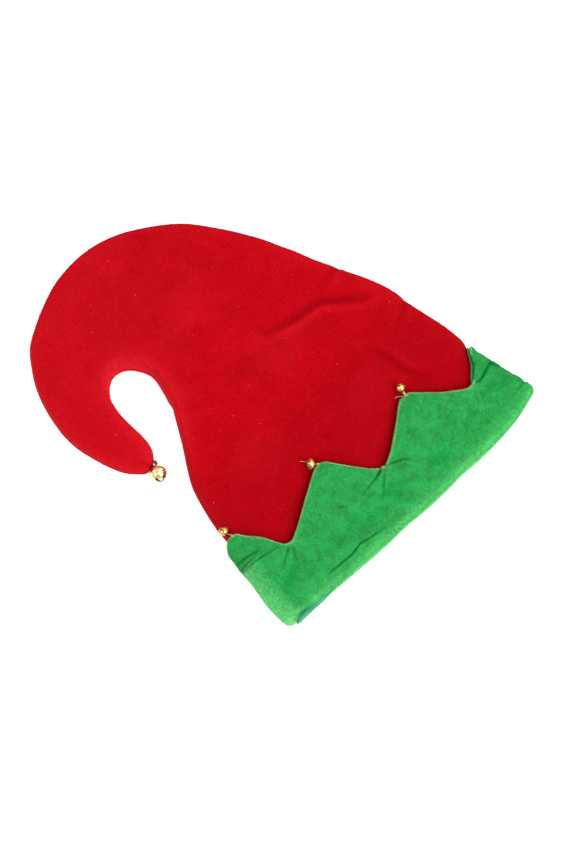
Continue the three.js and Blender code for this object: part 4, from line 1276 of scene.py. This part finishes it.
# the thread is also wound round the far side of the wire loop
loop_upright = Vector((0, 0, 1)).rotation_difference(Vector(tip_loop)).to_matrix()
loop_turned = loop_upright @ Matrix.Rotation(math.radians(TIP_BELL_TWIST), 3, "Z")
wire_way, ring_way = np.array(loop_turned @ Vector((1, 0, 0))), np.array(loop_turned @ Vector((0, 1, 0)))
wire = loop_ends["tip"] + tip_loop * TIP_BELL_RADIUS * LOOP_RADIUS
winding = TIP_BELL_RADIUS * LOOP_WIRE + 0.55
round_wire = np.linspace(0, 2 * math.pi, 13)[:-1, None]
turn_round = tip_loop * np.cos(round_wire) + ring_way * np.sin(round_wire)
for k in (-1.6, -0.55, 0.55, 1.6):  # places along the wire
    tip_turns.append(wire + wire_way * k + winding * turn_round)
threads.append(thread_object("tip_thread", tip_turns, TIP_THREAD, red_thread, True))
steps = np.linspace(0, 1, 8)[:, None]
tip_ends = [
    tip_end + chord * (2 + reach * steps) + tip_way * (1 + out * steps**2)
    + [0, 0, 1] * (1.5 + rise * steps)
    for reach, out, rise in ((3.5, 3.4, 1.0), (1.2, 4.2, 2.6))
]
threads.append(thread_object("tip_loose_ends", tip_ends, TIP_END_THREAD, red_thread, False))
print(len(threads), "pieces of thread")

# %% [markdown]
# ## Edge stitches, pile and lint
# Small things in great number are grown by Geometry Nodes. The free edge of the cuff is overcast with
# pale thread, so one stitch is set at every step along it. Where the cloth turns away, single hairs of the
# pile stand out against the light, and a few pale fibres have caught on the red.

# %% Helpers for Geometry Nodes
def new_tree(name, sizes):
    """A tree with a geometry input and output and a named input for each size."""
    tree = bpy.data.node_groups.new(name, "GeometryNodeTree")
    tree.interface.new_socket("Geometry", in_out="INPUT", socket_type="NodeSocketGeometry")
    for label, kind in sizes.items():
        tree.interface.new_socket(label, in_out="INPUT", socket_type=kind)
    tree.interface.new_socket("Geometry", in_out="OUTPUT", socket_type="NodeSocketGeometry")
    return tree, tree.nodes.new("NodeGroupInput"), tree.nodes.new("NodeGroupOutput")


def named(nodes, attribute_name, data_type):
    """The value of an attribute that the base mesh carries."""
    reader = nodes.new("GeometryNodeInputNamedAttribute")
    reader.data_type = data_type
    reader.inputs["Name"].default_value = attribute_name
    return reader.outputs["Attribute"]


def close_tree(tree, instances, group_in, group_out):
    """Ends a tree: the instances become real and take their finish."""
    realize = tree.nodes.new("GeometryNodeRealizeInstances")
    finish = tree.nodes.new("GeometryNodeSetMaterial")
    tree.links.new(instances, realize.inputs["Geometry"])
    tree.links.new(realize.outputs["Geometry"], finish.inputs["Geometry"])
    tree.links.new(group_in.outputs["Finish"], finish.inputs["Material"])
    tree.links.new(finish.outputs["Geometry"], group_out.inputs["Geometry"])


def grow(name, base_mesh, tree, values):
    """A new piece: what the tree makes of a mesh, as a plain mesh."""
    holder = new_object("base_of_" + name, base_mesh)
    modifier = holder.modifiers.new("grow", "NODES")
    modifier.node_group = tree
    for socket in tree.interface.items_tree:
        if socket.in_out == "INPUT" and socket.name in values:
            modifier[socket.identifier] = values[socket.name]
    mesh = evaluated_mesh(holder)
    mesh.name = name
    bpy.data.objects.remove(holder)
    print(f"{name}: {sum(len(p.vertices) - 2 for p in mesh.polygons)} triangles")
    return new_object(name, mesh)


# %% A tree of stitches
tree, group_in, group_out = new_tree("overcast_edge", {
    "Pitch": "NodeSocketFloat", "Stitch length": "NodeSocketFloat", "Thread radius": "NodeSocketFloat",
    "Finish": "NodeSocketMaterial"})
link = tree.links.new
path = tree.nodes.new("GeometryNodeMeshToCurve")
step = tree.nodes.new("GeometryNodeResampleCurve")
step.mode = "LENGTH"
stitch = tree.nodes.new("GeometryNodeMeshCylinder")
stitch.inputs["Vertices"].default_value = 5
across_edge = tree.nodes.new("FunctionNodeAlignRotationToVector")
across_edge.axis = "Z"
copies = tree.nodes.new("GeometryNodeInstanceOnPoints")
link(group_in.outputs["Geometry"], path.inputs["Mesh"])
link(path.outputs["Curve"], step.inputs["Curve"])
link(group_in.outputs["Pitch"], step.inputs["Length"])
link(group_in.outputs["Thread radius"], stitch.inputs["Radius"])
link(group_in.outputs["Stitch length"], stitch.inputs["Depth"])
link(named(tree.nodes, "over", "FLOAT_VECTOR"), across_edge.inputs["Vector"])
link(step.outputs["Curve"], copies.inputs["Points"])
link(stitch.outputs["Mesh"], copies.inputs["Instance"])
link(across_edge.outputs["Rotation"], copies.inputs["Rotation"])
close_tree(tree, copies.outputs["Instances"], group_in, group_out)
print("tree:", tree.name)

# %% Overcast the free edge
STITCH_SLANT = 0.35  # how far a stitch slants along the edge, as a share of its length
seam_line = (cuff_face[-3] - HAT_MIDDLE) * MM  # the stitches sit on the third row from the edge
over = cuff_face[-2] - cuff_face[-5]  # the way across the edge, over its last rows
over /= np.linalg.norm(over, axis=-1, keepdims=True)
over += STITCH_SLANT * np.roll(over, 1, axis=0) * [-1, 1, 0]
count = len(seam_line)
seam_mesh = bpy.data.meshes.new("free_edge")
around = around_at(ring_angles(ABOVE, BELOW)[0])
sewn = [k for k in range(count) if not TURNED_IN[0] < around[k] < TURNED_IN[1]]
seam_mesh.from_pydata(seam_line, [(k, (k + 1) % count) for k in sewn], [])
layer = seam_mesh.attributes.new("over", "FLOAT_VECTOR", "POINT")
layer.data.foreach_set("vector", over.reshape(-1).astype(np.float32))
edge_stitches = grow("edge_stitches", seam_mesh, tree, {
    "Pitch": 1.3 * MM, "Stitch length": 2.4 * MM, "Thread radius": 0.2 * MM, "Finish": green_thread})

# %% A tree of standing hairs
HAIR_SIZES = (0.5, 1.3)  # the smallest and the largest hair, as shares of the size asked for
tree, group_in, group_out = new_tree("standing_hairs", {
    "Density": "NodeSocketFloat", "Hair length": "NodeSocketFloat", "Hair radius": "NodeSocketFloat",
    "Lean": "NodeSocketFloat", "Seed": "NodeSocketInt", "Finish": "NodeSocketMaterial"})
link = tree.links.new
density = product(tree.nodes, tree.links, named(tree.nodes, "pile", "FLOAT"), group_in.outputs["Density"])
scatter = tree.nodes.new("GeometryNodeDistributePointsOnFaces")
hair = tree.nodes.new("GeometryNodeMeshCone")
set_inputs(hair, {"Vertices": 3, "Radius Top": 0})
back_way = tree.nodes.new("ShaderNodeMath")
back_way.operation = "MULTIPLY"
back_way.inputs[1].default_value = -1
ways = tree.nodes.new("FunctionNodeRandomValue")
ways.data_type = "FLOAT_VECTOR"
leaning = tree.nodes.new("FunctionNodeRotateRotation")
leaning.rotation_space = "LOCAL"
sizes = tree.nodes.new("FunctionNodeRandomValue")
sizes.inputs[2].default_value, sizes.inputs[3].default_value = HAIR_SIZES
copies = tree.nodes.new("GeometryNodeInstanceOnPoints")
link(density, scatter.inputs["Density"])
link(group_in.outputs["Geometry"], scatter.inputs["Mesh"])
link(group_in.outputs["Seed"], scatter.inputs["Seed"])
link(group_in.outputs["Hair length"], hair.inputs["Depth"])
link(group_in.outputs["Hair radius"], hair.inputs["Radius Bottom"])
link(group_in.outputs["Lean"], back_way.inputs[0])
link(back_way.outputs["Value"], ways.inputs[0])
link(group_in.outputs["Lean"], ways.inputs[1])
link(scatter.outputs["Rotation"], leaning.inputs["Rotation"])
link(ways.outputs[0], leaning.inputs["Rotate By"])
link(scatter.outputs["Points"], copies.inputs["Points"])
link(hair.outputs["Mesh"], copies.inputs["Instance"])
link(leaning.outputs["Rotation"], copies.inputs["Rotation"])
link(sizes.outputs[1], copies.inputs["Scale"])
close_tree(tree, copies.outputs["Instances"], group_in, group_out)
print("tree:", tree.name)

# %% Raise the pile and drop the lint
GREEN_HAIRS, RED_HAIRS, LINT = 550000.0, 420000.0, 600.0  # to a square metre, where pile is 1
hair_sizes = {"Hair length": 1.1 * MM, "Hair radius": 0.09 * MM, "Lean": 0.7}
green_pile = grow("green_pile", cuff.data.copy(), tree, {
    **hair_sizes, "Density": GREEN_HAIRS, "Seed": 4, "Finish": green_velvet})
red_pile = grow("red_pile", crown_upper.data.copy(), tree, {
    **hair_sizes, "Density": RED_HAIRS, "Seed": 9, "Finish": red_velvet})
# the lint lies anywhere on the red panel's face, and not on its back
lint_base = crown_upper.data.copy()
on_one_side = len(lint_base.vertices) // 2
lint_base.attributes["pile"].data.foreach_set(
    "value", np.append(np.ones(on_one_side), np.zeros(on_one_side)).astype(np.float32))
lint = grow("lint", lint_base, tree, {
    "Hair length": 1.5 * MM, "Hair radius": 0.12 * MM, "Lean": 1.5, "Density": LINT, "Seed": 2,
    "Finish": gold_thread})

# %% [markdown]
# ## Table top and finish
# A white table lies under the hat, a hair lower than the cloth, so the two never share a plane. The pieces
# ride on the hat's one body and stand in for their solids, and the pellets inside the bells keep theirs.

# %% Lay the hat on the table
TABLE_COLOUR, TABLE_GLOW = (0.93, 0.93, 0.93, 1), 0.45
TABLE_REACH, TABLE_DROP = 3, 0.2 * MM
floor_material, floor_nodes, _ = new_material("white_table")
set_inputs(floor_nodes["Principled BSDF"], {
    "Base Color": TABLE_COLOUR, "Roughness": 0.95, "Emission Color": WHITE, "Emission Strength": TABLE_GLOW})
floor_mesh = bpy.data.meshes.new("table_top")
corners = [(x * TABLE_REACH, y * TABLE_REACH, -TABLE_DROP) for x, y in ((-1, -1), (1, -1), (1, 1), (-1, 1))]
floor_mesh.from_pydata(corners, [], [(0, 1, 2, 3)])
floor_mesh.materials.append(floor_material)
table_top = new_object("table_top", floor_mesh)
print(f"table top {2 * TABLE_REACH} m wide")

# %% Say which solids the pieces stand for
upper_lengths = [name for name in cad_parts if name.endswith("upper_panel")]
lower_lengths = [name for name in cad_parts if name.endswith("lower_panel")]
cloth = [
    (crown_upper, upper_lengths, "velvet_red"),
    (crown_lower, lower_lengths, "velvet_red"),
    (cuff, ["cuff_band"], "velvet_green"),
    (point_facing, ["point_facing"], "facing_teal"),
    (mouth_facing, ["mouth_facing"], "facing_teal"),
]
metal_pieces = [(bell, ["bell_" + place], "bell_gold") for place, bell in bells.items()]
for piece, nodes, finish in cloth + metal_pieces:
    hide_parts(*nodes)
    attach(piece, "root")
print(len(cloth + metal_pieces), "pieces stand in for solids")

# %% List how the cloth lies, and print each sheet's area
# The rectangle that each cloth is cut from, in metres, its cut area, and what it lies on. The areas come
# from the pattern: a crown panel's outline seen from above with its turned edges, and for the rings the
# length round the hat times the mean height.
SHEETS = [
    (crown_upper, (0.42, 0.42), 0.092, ["mouth_facing_cloth", "crown_lower"]),
    (crown_lower, (0.42, 0.42), 0.092, ["table_top"]),
    (cuff, (0.6, 0.1), 0.045, ["point_facing_cloth", "table_top"]),
    (point_facing, (0.59, 0.06), 0.023, ["crown_upper", "crown_lower"]),
    (mouth_facing, (0.58, 0.055), 0.022, ["crown_lower"]),
]


def cloth_area(piece):
    """Area of one side of a closed sheet."""
    return sum(face.area for face in piece.data.polygons) / 2


for piece, flat, cut_area, carriers in SHEETS:
    print(f"{piece.name}: cut {cut_area} square metres, measures {cloth_area(piece):.3f}")

# %% Small pieces and pellets
trims = [(edge_stitches, "velvet_green"), (green_pile, "velvet_green")]
trims += [(red_pile, "velvet_red"), (lint, "velvet_red")]
trims += [(thread, "velvet_red" if "tip" in thread.name else "velvet_green") for thread in threads]
for piece, finish in trims:
    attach(piece, "root")
for name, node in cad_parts.items():
    if name.startswith("pellet"):
        node.data.materials.clear()
        node.data.materials.append(pellet_steel)
print(len(trims), "small pieces")
